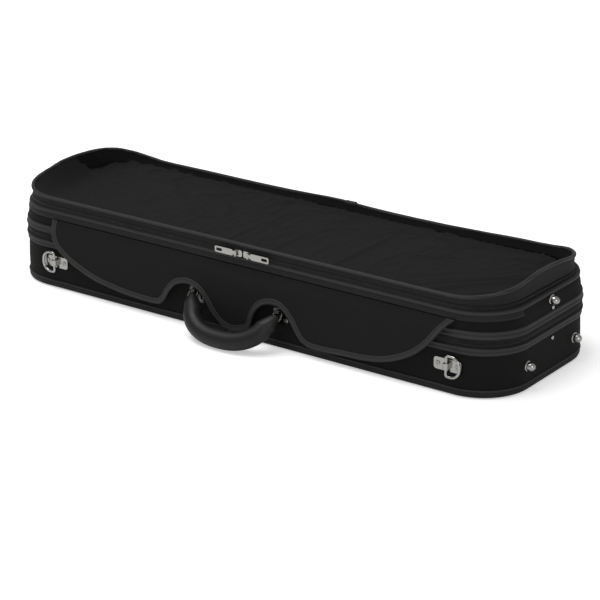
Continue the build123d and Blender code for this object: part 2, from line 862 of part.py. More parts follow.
pocket_face = -pocket_front - 0.3
main_face = -half_depth - coil_out - 0.2
pocket_slider_xs = {"left": (4.0, -1), "right": (18.0, 1)}
main_slider_xs = {"left": (notch_x - 8.0, -1), "right": (notch_x + 8.0, 1)}
for label, (x, side) in pocket_slider_xs.items():
    with BuildPart() as pocket_slider:
        add(slider_part(x, pocket_face, pocket_zip_z, side))
    finish(pocket_slider, f"pocket_slider_{label}")
    with BuildPart() as pocket_pull:
        add(pull_part(x, pocket_face, pocket_zip_z, side))
    finish(pocket_pull, f"pocket_pull_{label}")

main_slider_deep = flap_standoff - coil_out - 0.2 - 0.6
for label, (x, side) in main_slider_xs.items():
    with BuildPart() as main_slider:
        with Locations((x, main_face, split_z)):
            Box(
                slider_long,
                main_slider_deep - 2.0,
                slider_tall,
                align=(Align.CENTER, Align.MAX, Align.CENTER),
            )
        fillet(main_slider.edges().filter_by(Axis.Y), radius=2.5)
        with Locations((x + side * slider_long / 4, main_face - main_slider_deep + 2.2, split_z)):
            Box(3.0, 2.0, 5.0, align=(Align.CENTER, Align.MAX, Align.CENTER))
    finish(main_slider, f"main_slider_{label}")
    with BuildPart() as main_pull:
        pin_x = x + side * slider_long / 4
        face_y = main_face - main_slider_deep + 1.8
        face = Plane(origin=(pin_x, face_y, split_z), x_dir=(1, 0, 0), z_dir=(0, -1, 0))
        with BuildSketch(face):
            with Locations((side * (pull_long / 2 + 1.0), 0)):
                RectangleRounded(pull_long, pull_tall, 2.2)
            with Locations((side * (pull_long - 6.0), 0)):
                RectangleRounded(9.0, 4.0, 1.2, mode=Mode.SUBTRACT)
        extrude(amount=pull_thick)
        cut(main_slider.part)
    finish(main_pull, f"main_pull_{label}")

# ---------------------------------------------------------------- padding in the base
inner_base = prism(-cover - wall - soft_gap, cover + floor_board + soft_gap, bed_top)
lower_x, lower_r = lower_bout
upper_x, upper_r = upper_bout
neck_left, neck_width, neck_floor = neck_channel
scroll_left, scroll_right, scroll_width, scroll_floor = scroll_well
side_left, side_right, side_near, side_far, side_floor = side_well

with BuildPart() as bed_cushion:
    add(inner_base)
    with BuildSketch(Plane.XY.offset(recess_floor)):
        with Locations((lower_x, 0)):
            Circle(lower_r)
        with Locations((upper_x, 0)):
            Circle(upper_r)
        with Locations(((lower_x + upper_x) / 2, 0)):
            Rectangle(lower_x - upper_x, waist_width)
    extrude(amount=case_length, mode=Mode.SUBTRACT)
    with BuildSketch(Plane.XY.offset(neck_floor)):
        with Locations(((neck_left + upper_x) / 2, 0)):
            Rectangle(upper_x - neck_left, neck_width)
    extrude(amount=case_length, mode=Mode.SUBTRACT)
    with BuildSketch(Plane.XY.offset(scroll_floor)):
        with Locations(((scroll_left + scroll_right) / 2, 0)):
            RectangleRounded(scroll_right - scroll_left, scroll_width, 14.0)
    extrude(amount=case_length, mode=Mode.SUBTRACT)
    with BuildSketch(Plane.XY.offset(side_floor)):
        for side in (-1, 1):
            with Locations(((side_left + side_right) / 2, side * (side_near + side_far) / 2)):
                RectangleRounded(side_right - side_left, side_far - side_near, 8.0)
    extrude(amount=case_length, mode=Mode.SUBTRACT)
    with BuildSketch(Plane.XY.offset(cover)):
        with Locations(((box_left + box_right) / 2, 0)):
            RectangleRounded(
                box_right - box_left + 2 * soft_gap,
                2 * box_half + 2 * soft_gap,
                box_radius + soft_gap,
            )
    extrude(amount=case_length, mode=Mode.SUBTRACT)
    stay_thick, stay_wide = stay
    for end in (-1, 1):
        with Locations((end * (half_length - cover - wall), rivet_y - 6, stay_low - 3)):
            Box(
                2 * (stay_thick + 1.5),
                stay_wide + 16,
                100,
                align=(Align.CENTER, Align.MIN, Align.MIN),
                mode=Mode.SUBTRACT,
            )
finish(bed_cushion, "bed_cushion")

neck_rest_x = -30.0
neck_rest_long = 36.0
neck_rest_top = 54.0
neck_radius = 17.0
with BuildPart() as neck_rest:
    with BuildSketch(Plane(origin=(neck_rest_x, 0, 0), x_dir=(0, 1, 0), z_dir=(1, 0, 0))):
        with Locations((0, neck_floor + soft_gap)):
            Rectangle(
                neck_width - 2 * soft_gap,
                neck_rest_top - neck_floor - soft_gap,
                align=(Align.CENTER, Align.MIN),
            )
        with Locations((0, neck_rest_top + 6.0)):
            Circle(neck_radius, mode=Mode.SUBTRACT)
    extrude(amount=neck_rest_long / 2, both=True)
finish(neck_rest, "neck_rest")

strap_long = 26.0
strap_band = 1.6
strap_arch = 24.0
with BuildPart() as neck_strap:
    with BuildSketch(Plane(origin=(neck_rest_x, 0, 0), x_dir=(0, 1, 0), z_dir=(1, 0, 0))):
        with Locations((0, bed_top + soft_gap)):
            Circle(strap_arch)
            Circle(strap_arch - strap_band, mode=Mode.SUBTRACT)
            Rectangle(100, 100, align=(Align.CENTER, Align.MAX), mode=Mode.SUBTRACT)
            for side in (-1, 1):
                with Locations((side * (strap_arch + 7.0), strap_band / 2)):
                    Rectangle(16.0, strap_band)
    extrude(amount=strap_long / 2, both=True)
finish(neck_strap, "neck_strap")

# ---------------------------------------------------------------- accessory box and its lid
box_floor_z = cover + floor_board
with BuildPart() as accessory_box:
    with BuildSketch(Plane.XY.offset(box_floor_z)):
        with Locations(((box_left + box_right) / 2, 0)):
            RectangleRounded(box_right - box_left, 2 * box_half, box_radius)
    extrude(amount=box_top - box_floor_z)
    with BuildSketch(Plane.XY.offset(box_floor_z + box_wall)):
        with Locations(((box_left + box_right) / 2, 0)):
            RectangleRounded(
                box_right - box_left - 2 * box_wall,
                2 * box_half - 2 * box_wall,
                box_radius - box_wall,
            )
    extrude(amount=case_length, mode=Mode.SUBTRACT)
finish(accessory_box, "accessory_box")

box_hinge_z = box_top + 0.2
with BuildPart() as accessory_lid:
    with BuildSketch(Plane.XY.offset(box_hinge_z)):
        with Locations(((box_left + box_right) / 2, 0)):
            RectangleRounded(box_right - box_left, 2 * box_half, box_radius)
    extrude(amount=box_lid)
finish(accessory_lid, "accessory_lid")

with BuildPart() as accessory_lid_tab:
    with BuildSketch(Plane.XZ):
        with BuildLine():
            Polyline(
                (box_left + 14, box_hinge_z + box_lid),
                (box_left + 14, box_hinge_z + box_lid + 1.0),
                (box_left - 6, box_hinge_z + box_lid + 1.0),
                (box_left - 6, box_hinge_z + box_lid),
                close=True,
            )
        make_face()
    extrude(amount=7.0, both=True)
finish(accessory_lid_tab, "accessory_lid_tab")

# ---------------------------------------------------------------- lid stays
def stay_part(end):
    """Ribbon folded flat against the inside of an end wall, from the base to the lid."""
    with BuildPart() as ribbon:
        with Locations((end * (half_length - cover - wall - soft_gap), rivet_y - 5, stay_low)):
            Box(
                stay_thick,
                stay_wide,
                stay_high - stay_low,
                align=(Align.MAX if end > 0 else Align.MIN, Align.MIN, Align.MIN),
            )
    return ribbon.part


for label, end in (("left", -1), ("right", 1)):
    with BuildPart() as lid_stay:
        add(stay_part(end))
    finish(lid_stay, f"lid_stay_{label}")

# ---------------------------------------------------------------- lid lining and bow holders
lining_high = lid_top - cover - top_board - soft_gap
lining_low = lining_high - lining
with BuildPart() as lid_lining:
    with BuildSketch(Plane.XY.offset(lining_low)):
        plan(-cover - wall - 4.0, lid_end_inset)
    extrude(amount=lining)
finish(lid_lining, "lid_lining")

spinner_disc = (9.0, 2.6)
spinner_bar = (36.0, 11.0, 4.6)
spinner_pin = 1.6
spinner_clearance = 0.06
spinner_drop = 13.0
bow_ys = {"front": -bow_y, "back": bow_y}
disc_radius, disc_high = spinner_disc
bar_long, bar_wide, bar_high = spinner_bar
pin_head = 3.2

with BuildPart() as bow_spinner_pins:
    for y in bow_ys.values():
        with Locations((spinner_x, y, lining_low - soft_gap)):
            Cylinder(disc_radius, disc_high, align=(Align.CENTER, Align.CENTER, Align.MAX))
            Cylinder(
                spinner_pin, disc_high + spinner_drop, align=(Align.CENTER, Align.CENTER, Align.MAX)
            )
        with Locations((spinner_x, y, lining_low - soft_gap - disc_high - spinner_drop)):
            Cylinder(pin_head, 1.2, align=(Align.CENTER, Align.CENTER, Align.MAX))
finish(bow_spinner_pins, "bow_spinner_pins")

for label, y in bow_ys.items():
    with BuildPart() as bow_spinner:
        post_top = lining_low - soft_gap - disc_high - 0.1
        post_low = lining_low - soft_gap - disc_high - spinner_drop + 1.5
        with BuildSketch(Plane.XY.offset(post_low)):
            with Locations((spinner_x, y)):
                SlotOverall(bar_long, bar_wide)
        extrude(amount=bar_high)
        with Locations((spinner_x, y, post_low)):
            Cylinder(4.2, post_top - post_low, align=(Align.CENTER, Align.CENTER, Align.MIN))
            Cylinder(spinner_pin + spinner_clearance, 60, mode=Mode.SUBTRACT)
    finish(bow_spinner, f"bow_spinner_{label}")

loop_half, loop_band, loop_wide = 13.0, 1.4, 20.0
with BuildPart() as bow_tip_loops:
    for y in bow_ys.values():
        with BuildSketch(
            Plane(origin=(loop_x, y, lining_low - soft_gap), x_dir=(0, 1, 0), z_dir=(1, 0, 0))
        ):
            Circle(loop_half)
            Circle(loop_half - loop_band, mode=Mode.SUBTRACT)
            Rectangle(60, 60, align=(Align.CENTER, Align.MIN), mode=Mode.SUBTRACT)
        extrude(amount=loop_wide / 2, both=True)
finish(bow_tip_loops, "bow_tip_loops")
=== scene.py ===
import json
import math

import bmesh
import bpy
from mathutils import Matrix, Vector, noise

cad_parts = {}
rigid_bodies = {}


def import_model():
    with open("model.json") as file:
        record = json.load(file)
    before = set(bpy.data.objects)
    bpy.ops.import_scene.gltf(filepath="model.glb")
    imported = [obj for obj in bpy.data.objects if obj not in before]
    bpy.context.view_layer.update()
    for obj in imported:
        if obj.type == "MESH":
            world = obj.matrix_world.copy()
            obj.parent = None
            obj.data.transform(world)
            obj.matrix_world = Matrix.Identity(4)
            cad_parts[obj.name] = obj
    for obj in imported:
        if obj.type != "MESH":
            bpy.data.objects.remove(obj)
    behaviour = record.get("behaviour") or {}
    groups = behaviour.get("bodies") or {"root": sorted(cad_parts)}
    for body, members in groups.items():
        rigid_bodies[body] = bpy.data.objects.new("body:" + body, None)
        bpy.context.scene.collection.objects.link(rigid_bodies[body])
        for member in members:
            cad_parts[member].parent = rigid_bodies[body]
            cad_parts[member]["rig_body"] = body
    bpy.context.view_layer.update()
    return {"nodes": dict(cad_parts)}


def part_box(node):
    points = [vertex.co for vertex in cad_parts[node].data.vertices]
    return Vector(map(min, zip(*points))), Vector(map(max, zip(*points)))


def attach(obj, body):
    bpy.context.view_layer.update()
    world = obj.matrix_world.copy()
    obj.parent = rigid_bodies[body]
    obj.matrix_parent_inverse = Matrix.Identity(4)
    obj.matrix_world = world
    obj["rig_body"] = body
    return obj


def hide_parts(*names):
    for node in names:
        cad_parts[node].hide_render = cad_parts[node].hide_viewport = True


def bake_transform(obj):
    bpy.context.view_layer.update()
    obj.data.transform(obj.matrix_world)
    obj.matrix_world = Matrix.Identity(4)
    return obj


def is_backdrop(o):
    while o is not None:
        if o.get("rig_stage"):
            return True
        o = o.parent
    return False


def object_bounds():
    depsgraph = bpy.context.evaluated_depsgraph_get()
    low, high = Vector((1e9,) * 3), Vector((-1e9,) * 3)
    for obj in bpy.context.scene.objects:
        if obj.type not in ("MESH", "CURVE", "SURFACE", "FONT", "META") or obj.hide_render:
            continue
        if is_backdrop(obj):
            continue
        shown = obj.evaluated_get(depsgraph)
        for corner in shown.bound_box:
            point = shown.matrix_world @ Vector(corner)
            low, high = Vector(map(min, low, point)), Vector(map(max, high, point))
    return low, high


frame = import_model()

# %% [markdown]
# # A violin case, dressed
#
# The construction model is already here: a board shell, its hinges, its rings, studs and rivets,
# and plain solids that stand for everything soft. What is left is the making of the soft things and
# the finishes. A case like this is a shell wrapped in canvas, with woven tape over every edge, two
# coil zips, a shaped flap over the main zip and a music pocket on the lid, so most of the lesson is
# about strips that run round a rounded rectangle.

# %% Units and the case's own sizes
mm = 0.001
corner_radius = 66 * mm
lean = 6 * mm                     # how far each end of the lid draws in by its top
half_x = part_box("base_cover")[1].x
half_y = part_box("base_cover")[1].y
rim_low, rim_high = (corner.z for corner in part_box("base_rim_binding"))
lower_low, lower_high = (corner.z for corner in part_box("lid_lower_binding"))
lid_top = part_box("lid_cover")[1].z
split_z = (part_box("base_shell")[1].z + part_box("lid_shell")[0].z) / 2
print("case", round(2 * half_x, 3), "by", round(2 * half_y, 3), "opens at", round(split_z, 4))

# %% [markdown]
# ## Walking round the case
#
# Every tape, zip and wrap follows the same outline: a rectangle with round corners. One small class
# knows that outline. It turns a distance along it into a place and a direction, and a place back
# into a distance, which later lays the weave straight along each strip.


# %% The outline seen from above
class Plan:
    """A rounded rectangle, walked from the middle of its back, left end first."""

    def __init__(self, half_x, half_y, radius, middle_y=0.0):
        self.flat_x = half_x - radius
        self.flat_y = half_y - radius
        self.radius = radius
        self.middle_y = middle_y
        arc = math.pi / 2 * radius
        self.runs = [self.flat_x, arc, 2 * self.flat_y, arc, 2 * self.flat_x, arc]
        self.runs += [2 * self.flat_y, arc, self.flat_x]
        self.length = sum(self.runs)

    def walk(self, distance):
        """The place at that distance, and the direction that points out of the outline."""
        s = distance % self.length
        index = 0
        while index < 8 and s > self.runs[index]:
            s -= self.runs[index]
            index += 1
        x, y, r = self.flat_x, self.flat_y, self.radius
        if index % 2:
            corners = ((-x, y, 90), (-x, -y, 180), (x, -y, 270), (x, y, 0))
            side_x, side_y, start = corners[index // 2]
            angle = math.radians(start) + s / r
            out = Vector((math.cos(angle), math.sin(angle), 0))
            return Vector((side_x, side_y + self.middle_y, 0)) + r * out, out
        place, out = (
            ((-s, y + r), (0, 1)),
            ((-x - r, y - s), (-1, 0)),
            ((-x + s, -y - r), (0, -1)),
            ((x + r, -y + s), (1, 0)),
            ((x - s, y + r), (0, 1)),
        )[index // 2]
        return Vector((place[0], place[1] + self.middle_y, 0)), Vector((*out, 0))

    def along(self, x, y):
        """The distance at which the walk passes nearest to a place."""
        y = y - self.middle_y
        turn, arc = self.radius, self.runs[1]
        if abs(x) > self.flat_x and abs(y) > self.flat_y:
            side_x = math.copysign(self.flat_x, x)
            side_y = math.copysign(self.flat_y, y)
            angle = math.degrees(math.atan2(y - side_y, x - side_x)) % 360
            corner = int(((angle - 90) % 360) // 90)
            start = sum(self.runs[: 2 * corner + 1])
            return start + math.radians((angle - 90) % 360 - 90 * corner) * turn
        reach_x = abs(x) - self.flat_x
        reach_y = abs(y) - self.flat_y
        if reach_y >= reach_x and y > 0:
            return -x if x <= 0 else self.length - x
        if reach_y >= reach_x:
            return self.flat_x + 2 * arc + 2 * self.flat_y + (x + self.flat_x)
        if x < 0:
            return self.flat_x + arc + (self.flat_y - y)
        return 3 * self.flat_x + 3 * arc + 2 * self.flat_y + (y + self.flat_y)


case_plan = Plan(half_x, half_y, corner_radius)
print("once round the case is", round(case_plan.length, 3), "m")

# %% [markdown]
# ## Handling objects as by hand
#
# Operators act on whatever is selected, so each step starts by letting go of everything and
# holding one object. Parts of a mesh are picked by where they are.


# %% Letting go, holding and picking
def let_go():
    held = bpy.context.view_layer.objects.active
    if held is not None and held.mode != "OBJECT":
        bpy.ops.object.mode_set(mode="OBJECT")
    bpy.ops.object.select_all(action="DESELECT")


def hold(piece):
    let_go()
    piece.hide_viewport = False
    bpy.context.view_layer.objects.active = piece
    piece.select_set(True)


def grid(name, columns, rows):
    """A flat grid from -1 to 1 both ways."""
    let_go()
    bpy.ops.mesh.primitive_grid_add(x_subdivisions=columns, y_subdivisions=rows, size=2)
    bpy.context.object.name = name
    return bpy.context.object


def made_of(name, rows):
    """An object from a mesh that was built by hand."""
    mesh = bpy.data.meshes.new(name)
    rows.to_mesh(mesh)
    rows.free()
    made = bpy.data.objects.new(name, mesh)
    bpy.context.scene.collection.objects.link(made)
    return made


def pick(piece, kind, wanted):
    """Opens a mesh for editing with the vertices, edges or faces whose middle is wanted picked."""
    hold(piece)
    mesh = piece.data
    order = ("VERT", "EDGE", "FACE")
    bpy.context.tool_settings.mesh_select_mode = [kind == name for name in order]
    for group in (mesh.vertices, mesh.edges, mesh.polygons):
        group.foreach_set("select", [False] * len(group))
    group = (mesh.vertices, mesh.edges, mesh.polygons)[order.index(kind)]
    for part in group:
        if kind == "VERT":
            middle = part.co
        elif kind == "EDGE":
            ends = [mesh.vertices[index].co for index in part.vertices]
            middle = (ends[0] + ends[1]) / 2
        else:
            middle = part.center
        part.select = bool(wanted(middle))
    bpy.ops.object.mode_set(mode="EDIT")


def done():
    bpy.ops.object.mode_set(mode="OBJECT")


def tidy_mesh(piece, turn=True):
    """Merges doubled vertices and, on a closed mesh, points its faces out."""
    pick(piece, "VERT", lambda place: True)
    bpy.ops.mesh.remove_doubles(threshold=0.02 * mm)
    if turn:
        bpy.ops.mesh.normals_make_consistent(inside=False)
    done()


def finish_with(piece, kind, **settings):
    """Adds a modifier and applies it."""
    hold(piece)
    modifier = piece.modifiers.new(kind.title(), kind)
    for key, value in settings.items():
        setattr(modifier, key, value)
    bpy.ops.object.modifier_apply(modifier=modifier.name)


def smooth(piece, degrees=45):
    hold(piece)
    bpy.ops.object.shade_smooth_by_angle(angle=math.radians(degrees))


def settle(piece):
    """Puts a piece's place and size into its mesh."""
    hold(piece)
    bpy.ops.object.transform_apply(location=True, rotation=True, scale=True)


# %% Strips carried round the outline
def in_mm(shape, foot=0.0, up=1):
    """A profile written in mm, above or below the height of its foot."""
    return [(out * mm, foot + up * high * mm) for out, high in shape]


def carry_round(name, plan, profile, closed=True, start=0.0, step=12 * mm):
    """Extrudes a profile of (out, height) points on the straights and spins it at the corners."""
    let_go()
    bpy.ops.mesh.primitive_circle_add(vertices=len(profile), radius=0.01, location=(0, 0, 0))
    strip = bpy.context.object
    strip.name = name
    back = plan.middle_y + plan.flat_y + plan.radius
    for vertex, (out, height) in zip(strip.data.vertices, profile):
        vertex.co = (-start, back + out, height)
    if not closed:
        ends = {0, len(profile) - 1}
        pick(strip, "EDGE", lambda place: False)
        done()
        for edge in strip.data.edges:
            edge.select = set(edge.vertices) == ends
        bpy.ops.object.mode_set(mode="EDIT")
        bpy.ops.mesh.delete(type="EDGE")
        done()
    pick(strip, "VERT", lambda place: True)
    x, y = plan.flat_x, plan.flat_y
    runs = (
        (start - x, 0, None),
        (0, -2 * y, (-x, y)),
        (2 * x, 0, (-x, -y)),
        (0, 2 * y, (x, -y)),
        (start - x, 0, (x, y)),
    )
    for dx, dy, centre in runs:
        if centre is not None:
            bpy.ops.mesh.spin(
                steps=14,
                angle=-math.pi / 2,
                center=(centre[0], centre[1] + plan.middle_y, 0),
                axis=(0, 0, 1),
            )
        steps = max(1, round((abs(dx) + abs(dy)) / step))
        for _ in range(steps):
            bpy.ops.mesh.extrude_region_move(
                TRANSFORM_OT_translate={"value": (dx / steps, dy / steps, 0)}
            )
    done()
    tidy_mesh(strip)
    return strip


# %% Laying the weave
def lay_cloth(piece, plan=case_plan, low=0.0, flip=False):
    """Gives a strip or wrap the map "cloth": metres along it, and metres up from low."""
    mesh = piece.data
    layer = mesh.uv_layers.new(name="cloth")
    for face in mesh.polygons:
        places = [mesh.vertices[mesh.loops[index].vertex_index].co for index in face.loop_indices]
        if abs(face.normal.z) > 0.9 and face.area > 20 * mm * mm:
            spots = [(place.x, place.y) for place in places]
        else:
            runs = [plan.along(place.x, place.y) for place in places]
            if max(runs) - min(runs) > plan.length / 2:
                runs = [run + plan.length if run < plan.length / 2 else run for run in runs]
            heights = [low - place.z if flip else place.z - low for place in places]
            spots = list(zip(runs, heights))
        for index, spot in zip(face.loop_indices, spots):
            layer.data[index].uv = spot


def lay_flat(piece, first, second):
    """Gives a flat sheet the map "cloth" straight along two of its axes."""
    mesh = piece.data
    layer = mesh.uv_layers.new(name="cloth")
    for loop in mesh.loops:
        place = mesh.vertices[loop.vertex_index].co
        layer.data[loop.index].uv = (place[first], place[second])


# %% [markdown]
# ## Shader maths as plain expressions
#
# A finish is a small program. Written node by node it is unreadable, so one class wraps a socket
# and lets + - * / make the Math nodes, and another makes every other node from its type, its
# settings and what goes into its sockets.


# %% Sockets and finishes
class Value:
    """One output socket. Arithmetic on it adds Math nodes to its finish."""

    def __init__(self, finish, socket):
        self.finish = finish
        self.socket = socket

    def maths(self, operation, *terms):
        inputs = dict(enumerate(terms))
        return self.finish.add("Math", {"operation": operation}, inputs)

    def __add__(self, other):
        return self.maths("ADD", self, other)

    def __sub__(self, other):
        return self.maths("SUBTRACT", self, other)

    def __rsub__(self, other):
        return self.maths("SUBTRACT", other, self)

    def __mul__(self, other):
        return self.maths("MULTIPLY", self, other)

    def __truediv__(self, other):
        return self.maths("DIVIDE", self, other)

    def __lt__(self, other):
        return self.maths("LESS_THAN", self, other)

    __radd__ = __add__
    __rmul__ = __mul__

    def sine(self):
        return self.maths("SINE", self)

    def size(self):
        return self.maths("ABSOLUTE", self)

    def part(self):
        return self.maths("FRACT", self)


class Finish:
    """A material with one surface shader, built from nodes."""

    def __init__(self, name, **surface):
        self.material = bpy.data.materials.new(name)
        self.material.use_nodes = True
        self.tree = self.material.node_tree
        self.tree.nodes.clear()
        self.shader = self.tree.nodes.new("ShaderNodeBsdfPrincipled")
        output = self.tree.nodes.new("ShaderNodeOutputMaterial")
        self.tree.links.new(self.shader.outputs[0], output.inputs[0])
        for key, value in surface.items():
            self.feed(self.shader, key.replace("_", " "), value)

    def feed(self, node, key, value):
        if isinstance(value, Value):
            self.tree.links.new(value.socket, node.inputs[key])
        else:
            node.inputs[key].default_value = value

    def add(self, kind, settings=None, inputs=None, output=0):
        """Makes a node of a type, sets it up, then feeds its sockets."""
        node = self.tree.nodes.new("ShaderNode" + kind)
        for key, value in (settings or {}).items():
            if key == "stops":
                ramp = node.color_ramp
                while len(ramp.elements) < len(value):
                    ramp.elements.new(0.5)
                for element, (place, colour) in zip(ramp.elements, value):
                    element.position = place
                    element.color = colour
            else:
                setattr(node, key, value)
        for key, value in (inputs or {}).items():
            self.feed(node, key, value)
        return Value(self, node.outputs[output])

    def place(self):
        """The place on the object, in metres."""
        return self.add("TexCoord", output=3)

    def cloth(self):
        """The two distances of the map "cloth", and the map itself."""
        spot = self.add("UVMap", {"uv_map": "cloth"})
        across = self.add("SeparateXYZ", None, {0: spot}, 0)
        up = self.add("SeparateXYZ", None, {0: spot}, 1)
        return across, up, spot

    def cloud(self, where, scale, detail=3.0, roughness=0.55):
        """Soft noise from 0 to 1."""
        inputs = {"Vector": where, "Scale": scale, "Detail": detail, "Roughness": roughness}
        return self.add("TexNoise", None, inputs)

    def colours(self, factor, first, second):
        """A mix of two colours."""
        inputs = {0: factor, 6: first, 7: second}
        return self.add("Mix", {"data_type": "RGBA"}, inputs, 2)

    def raise_by(self, height, distance, strength=1.0):
        """Feeds a height to the surface through a Bump node."""
        inputs = {"Height": height, "Distance": distance, "Strength": strength}
        self.feed(self.shader, "Normal", self.add("Bump", None, inputs))

    def paint(self, colour):
        self.feed(self.shader, "Base Color", colour)

    def roughen(self, roughness):
        self.feed(self.shader, "Roughness", roughness)


def shade(level, warm=1.0):
    """A grey as a colour, from its linear level."""
    return (level * warm, level, level / warm, 1.0)


def wear(piece, finish):
    """Gives a piece a finish in place of any it has."""
    piece.data.materials.clear()
    piece.data.materials.append(finish.material)


def sit(piece, body, finish, slot, *nodes, angle=55):
    """The last lines of a piece: finish, body if it has one, and what it stands for. The slot is
    not used.
    """
    smooth(piece, angle)
    wear(piece, finish)
    if body:
        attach(piece, body)
    if nodes:
        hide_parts(*nodes)


# %% [markdown]
# ## Canvas, tape and ribbon
#
# The wrap is a plain-weave canvas. Two sets of threads pass over and under each other, so its
# height is the product of two waves, and a third, slow cloud makes threads lie thicker and thinner.
# Black canvas is never one black: lint and rubbing leave it patchy.


# %% Woven finishes
def canvas(name, level, pitch=0.9 * mm, rise=0.10 * mm):
    finish = Finish(name, Roughness=0.86, Specular_IOR_Level=0.16, Sheen_Weight=0.02)
    along, up, spot = finish.cloth()
    threads = (along * (math.pi / pitch)).sine().size() * (up * (math.pi / pitch)).sine().size()
    lie = finish.cloud(finish.place(), 14.0, 4.0)
    slubs = finish.cloud(finish.add("Mapping", None, {0: spot, 3: (90.0, 900.0, 1.0)}), 1.0, 2.0)
    thin = finish.colours(lie * 0.75 + slubs * 0.35, shade(level * 0.72), shade(level * 1.35, 1.02))
    finish.paint(thin)
    finish.roughen(0.78 + lie * 0.14)
    finish.raise_by(threads + slubs * 0.8 + lie * 2.0, rise, 0.9)
    return finish


def tape(name, level, width=10 * mm):
    """Woven binding: ribs across it, and a row of stitches near its outer edge."""
    finish = Finish(name, Roughness=0.6, Specular_IOR_Level=0.28, Sheen_Weight=0.02)
    along, up, spot = finish.cloth()
    ribs = (along * (math.pi / (1.1 * mm))).sine().size()
    row = (up - 1.7 * mm).size() < 0.45 * mm
    dash = (along / (4.2 * mm)).part() < 0.72
    stitch = row * dash
    lie = finish.cloud(finish.place(), 22.0, 4.0)
    # The ridges are raised in the bump and also painted lighter in bands along the tape: a painted
    # highlight on each ridge.
    ridge = (up * (math.pi / (5 * mm))).sine().size()
    cloth = finish.colours(lie * 0.5 + ridge * 0.6 - 0.1, shade(level * 0.42), shade(level * 1.45))
    finish.paint(finish.colours(stitch, cloth, shade(level * 1.5, 1.02)))
    finish.roughen(0.52 + lie * 0.16)
    finish.raise_by(ribs * 0.35 + stitch * 2.5 - row * 1.2 + lie + ridge * 4.0, 0.14 * mm, 0.9)
    return finish


side_canvas = canvas("side_canvas", 0.0042)
flap_canvas = canvas("flap_canvas", 0.0078, 0.8 * mm, 0.08 * mm)
music_canvas = canvas("pocket_canvas", 0.0044, 0.8 * mm, 0.08 * mm)
edge_tape = tape("binding_tape", 0.0210)
foot_tape = tape("foot_tape", 0.0060)


def zip_cloth(name, level):
    """Zip tape: a fine twill, smoother than the binding."""
    finish = Finish(name, Roughness=0.72, Specular_IOR_Level=0.2)
    along, up, spot = finish.cloth()
    twill = ((along + up * 1.6) * (math.pi / (0.7 * mm))).sine().size()
    lie = finish.cloud(finish.place(), 30.0)
    finish.paint(finish.colours(lie, shade(level * 0.75), shade(level * 1.3)))
    finish.raise_by(twill + lie, 0.09 * mm, 0.8)
    return finish


zip_tape = zip_cloth("zip_tape", 0.0125)
# Painted shade: the facing is the zip tape's twill at a level near black, much darker than the
# panel's canvas, standing for the shaded strip under the piping.
facing_painted_shade = zip_cloth("facing_painted_shade", 0.0011)
facing_painted_shade.shader.inputs["Specular IOR Level"].default_value = 0.08

nylon = Finish("coil_nylon", Roughness=0.38, Specular_IOR_Level=0.45)
nylon_tone = nylon.cloud(nylon.place(), 60.0)
nylon.paint(nylon.colours(nylon_tone, shade(0.008), shade(0.017)))
nylon.roughen(0.32 + nylon_tone * 0.2)


def webbing(name, level, pitch=1.4 * mm):
    """Ribbon and strap webbing, ribbed across."""
    finish = Finish(name, Roughness=0.62, Specular_IOR_Level=0.25)
    along, up, spot = finish.cloth()
    ribs = (along * (math.pi / pitch)).sine().size()
    threads = (up * (math.pi / (0.8 * mm))).sine().size()
    lie = finish.cloud(finish.place(), 35.0)
    finish.paint(finish.colours(lie, shade(level * 0.75), shade(level * 1.35)))
    finish.raise_by(ribs + threads * 0.5 + lie, 0.12 * mm, 0.9)
    return finish


ribbon = webbing("ribbon", 0.014)

# %% [markdown]
# ## Leather, metal and what the inside is lined with
#
# The grip is a smooth black leather, so its grain is fine and shallow and its gloss varies where
# hands have polished it. The fittings are bright plated steel: nearly a mirror, with faint marks.
# The lining is a short plush, whose pile lies in patches and catches light at its edges.

# %% Leather
leather = Finish("handle_leather", Roughness=0.42, Specular_IOR_Level=0.3)
leather_place = leather.place()
pores = leather.add(
    "TexVoronoi", {"feature": "DISTANCE_TO_EDGE"}, {"Vector": leather_place, "Scale": 900.0}
)
creases = leather.cloud(leather_place, 160.0, 4.0)
handled = leather.cloud(leather_place, 28.0, 3.0)
leather.paint(leather.colours(handled, shade(0.0055), shade(0.0105, 1.03)))
leather.roughen(0.34 + handled * 0.16 + creases * 0.06)
leather.raise_by(pores * 1.2 + creases * 0.9, 0.16 * mm, 0.6)


# %% Metals and plastics
def metal(name, colour, roughness, marks):
    finish = Finish(name, Metallic=1.0, Roughness=roughness)
    place = finish.place()
    film = finish.cloud(place, 45.0, 3.0)
    fine = finish.cloud(finish.add("Mapping", None, {0: place, 3: (300.0, 900.0, 300.0)}), 1.0)
    dark = tuple(channel * 0.86 for channel in colour[:3]) + (1.0,)
    finish.paint(finish.colours(film, dark, colour))
    finish.roughen(roughness * 0.8 + film * roughness * 0.5 + fine * marks)
    finish.raise_by(fine + film, 0.02 * mm, 0.25)
    return finish


plating = metal("bright_plating", (0.44, 0.435, 0.42, 1.0), 0.13, 0.05)
# Painted shade: the handle's brackets and rings are the same bright plating, darkened here to stand
# for the shade under the flap's arches.
plating_painted_shade = metal("plating_painted_shade", (0.085, 0.084, 0.08, 1.0), 0.2, 0.06)
steel = metal("hinge_steel", (0.42, 0.42, 0.42, 1.0), 0.34, 0.12)

enamel = Finish("black_enamel", Roughness=0.35, Coat_Weight=0.2)
chips = enamel.cloud(enamel.place(), 120.0)
enamel.paint(enamel.colours(chips, shade(0.012), shade(0.028)))
enamel.roughen(0.28 + chips * 0.2)

moulded = Finish("spinner_plastic", Roughness=0.28)
swirl = moulded.cloud(moulded.place(), 70.0)
moulded.paint(moulded.colours(swirl, shade(0.009), shade(0.018)))
moulded.roughen(0.22 + swirl * 0.12)


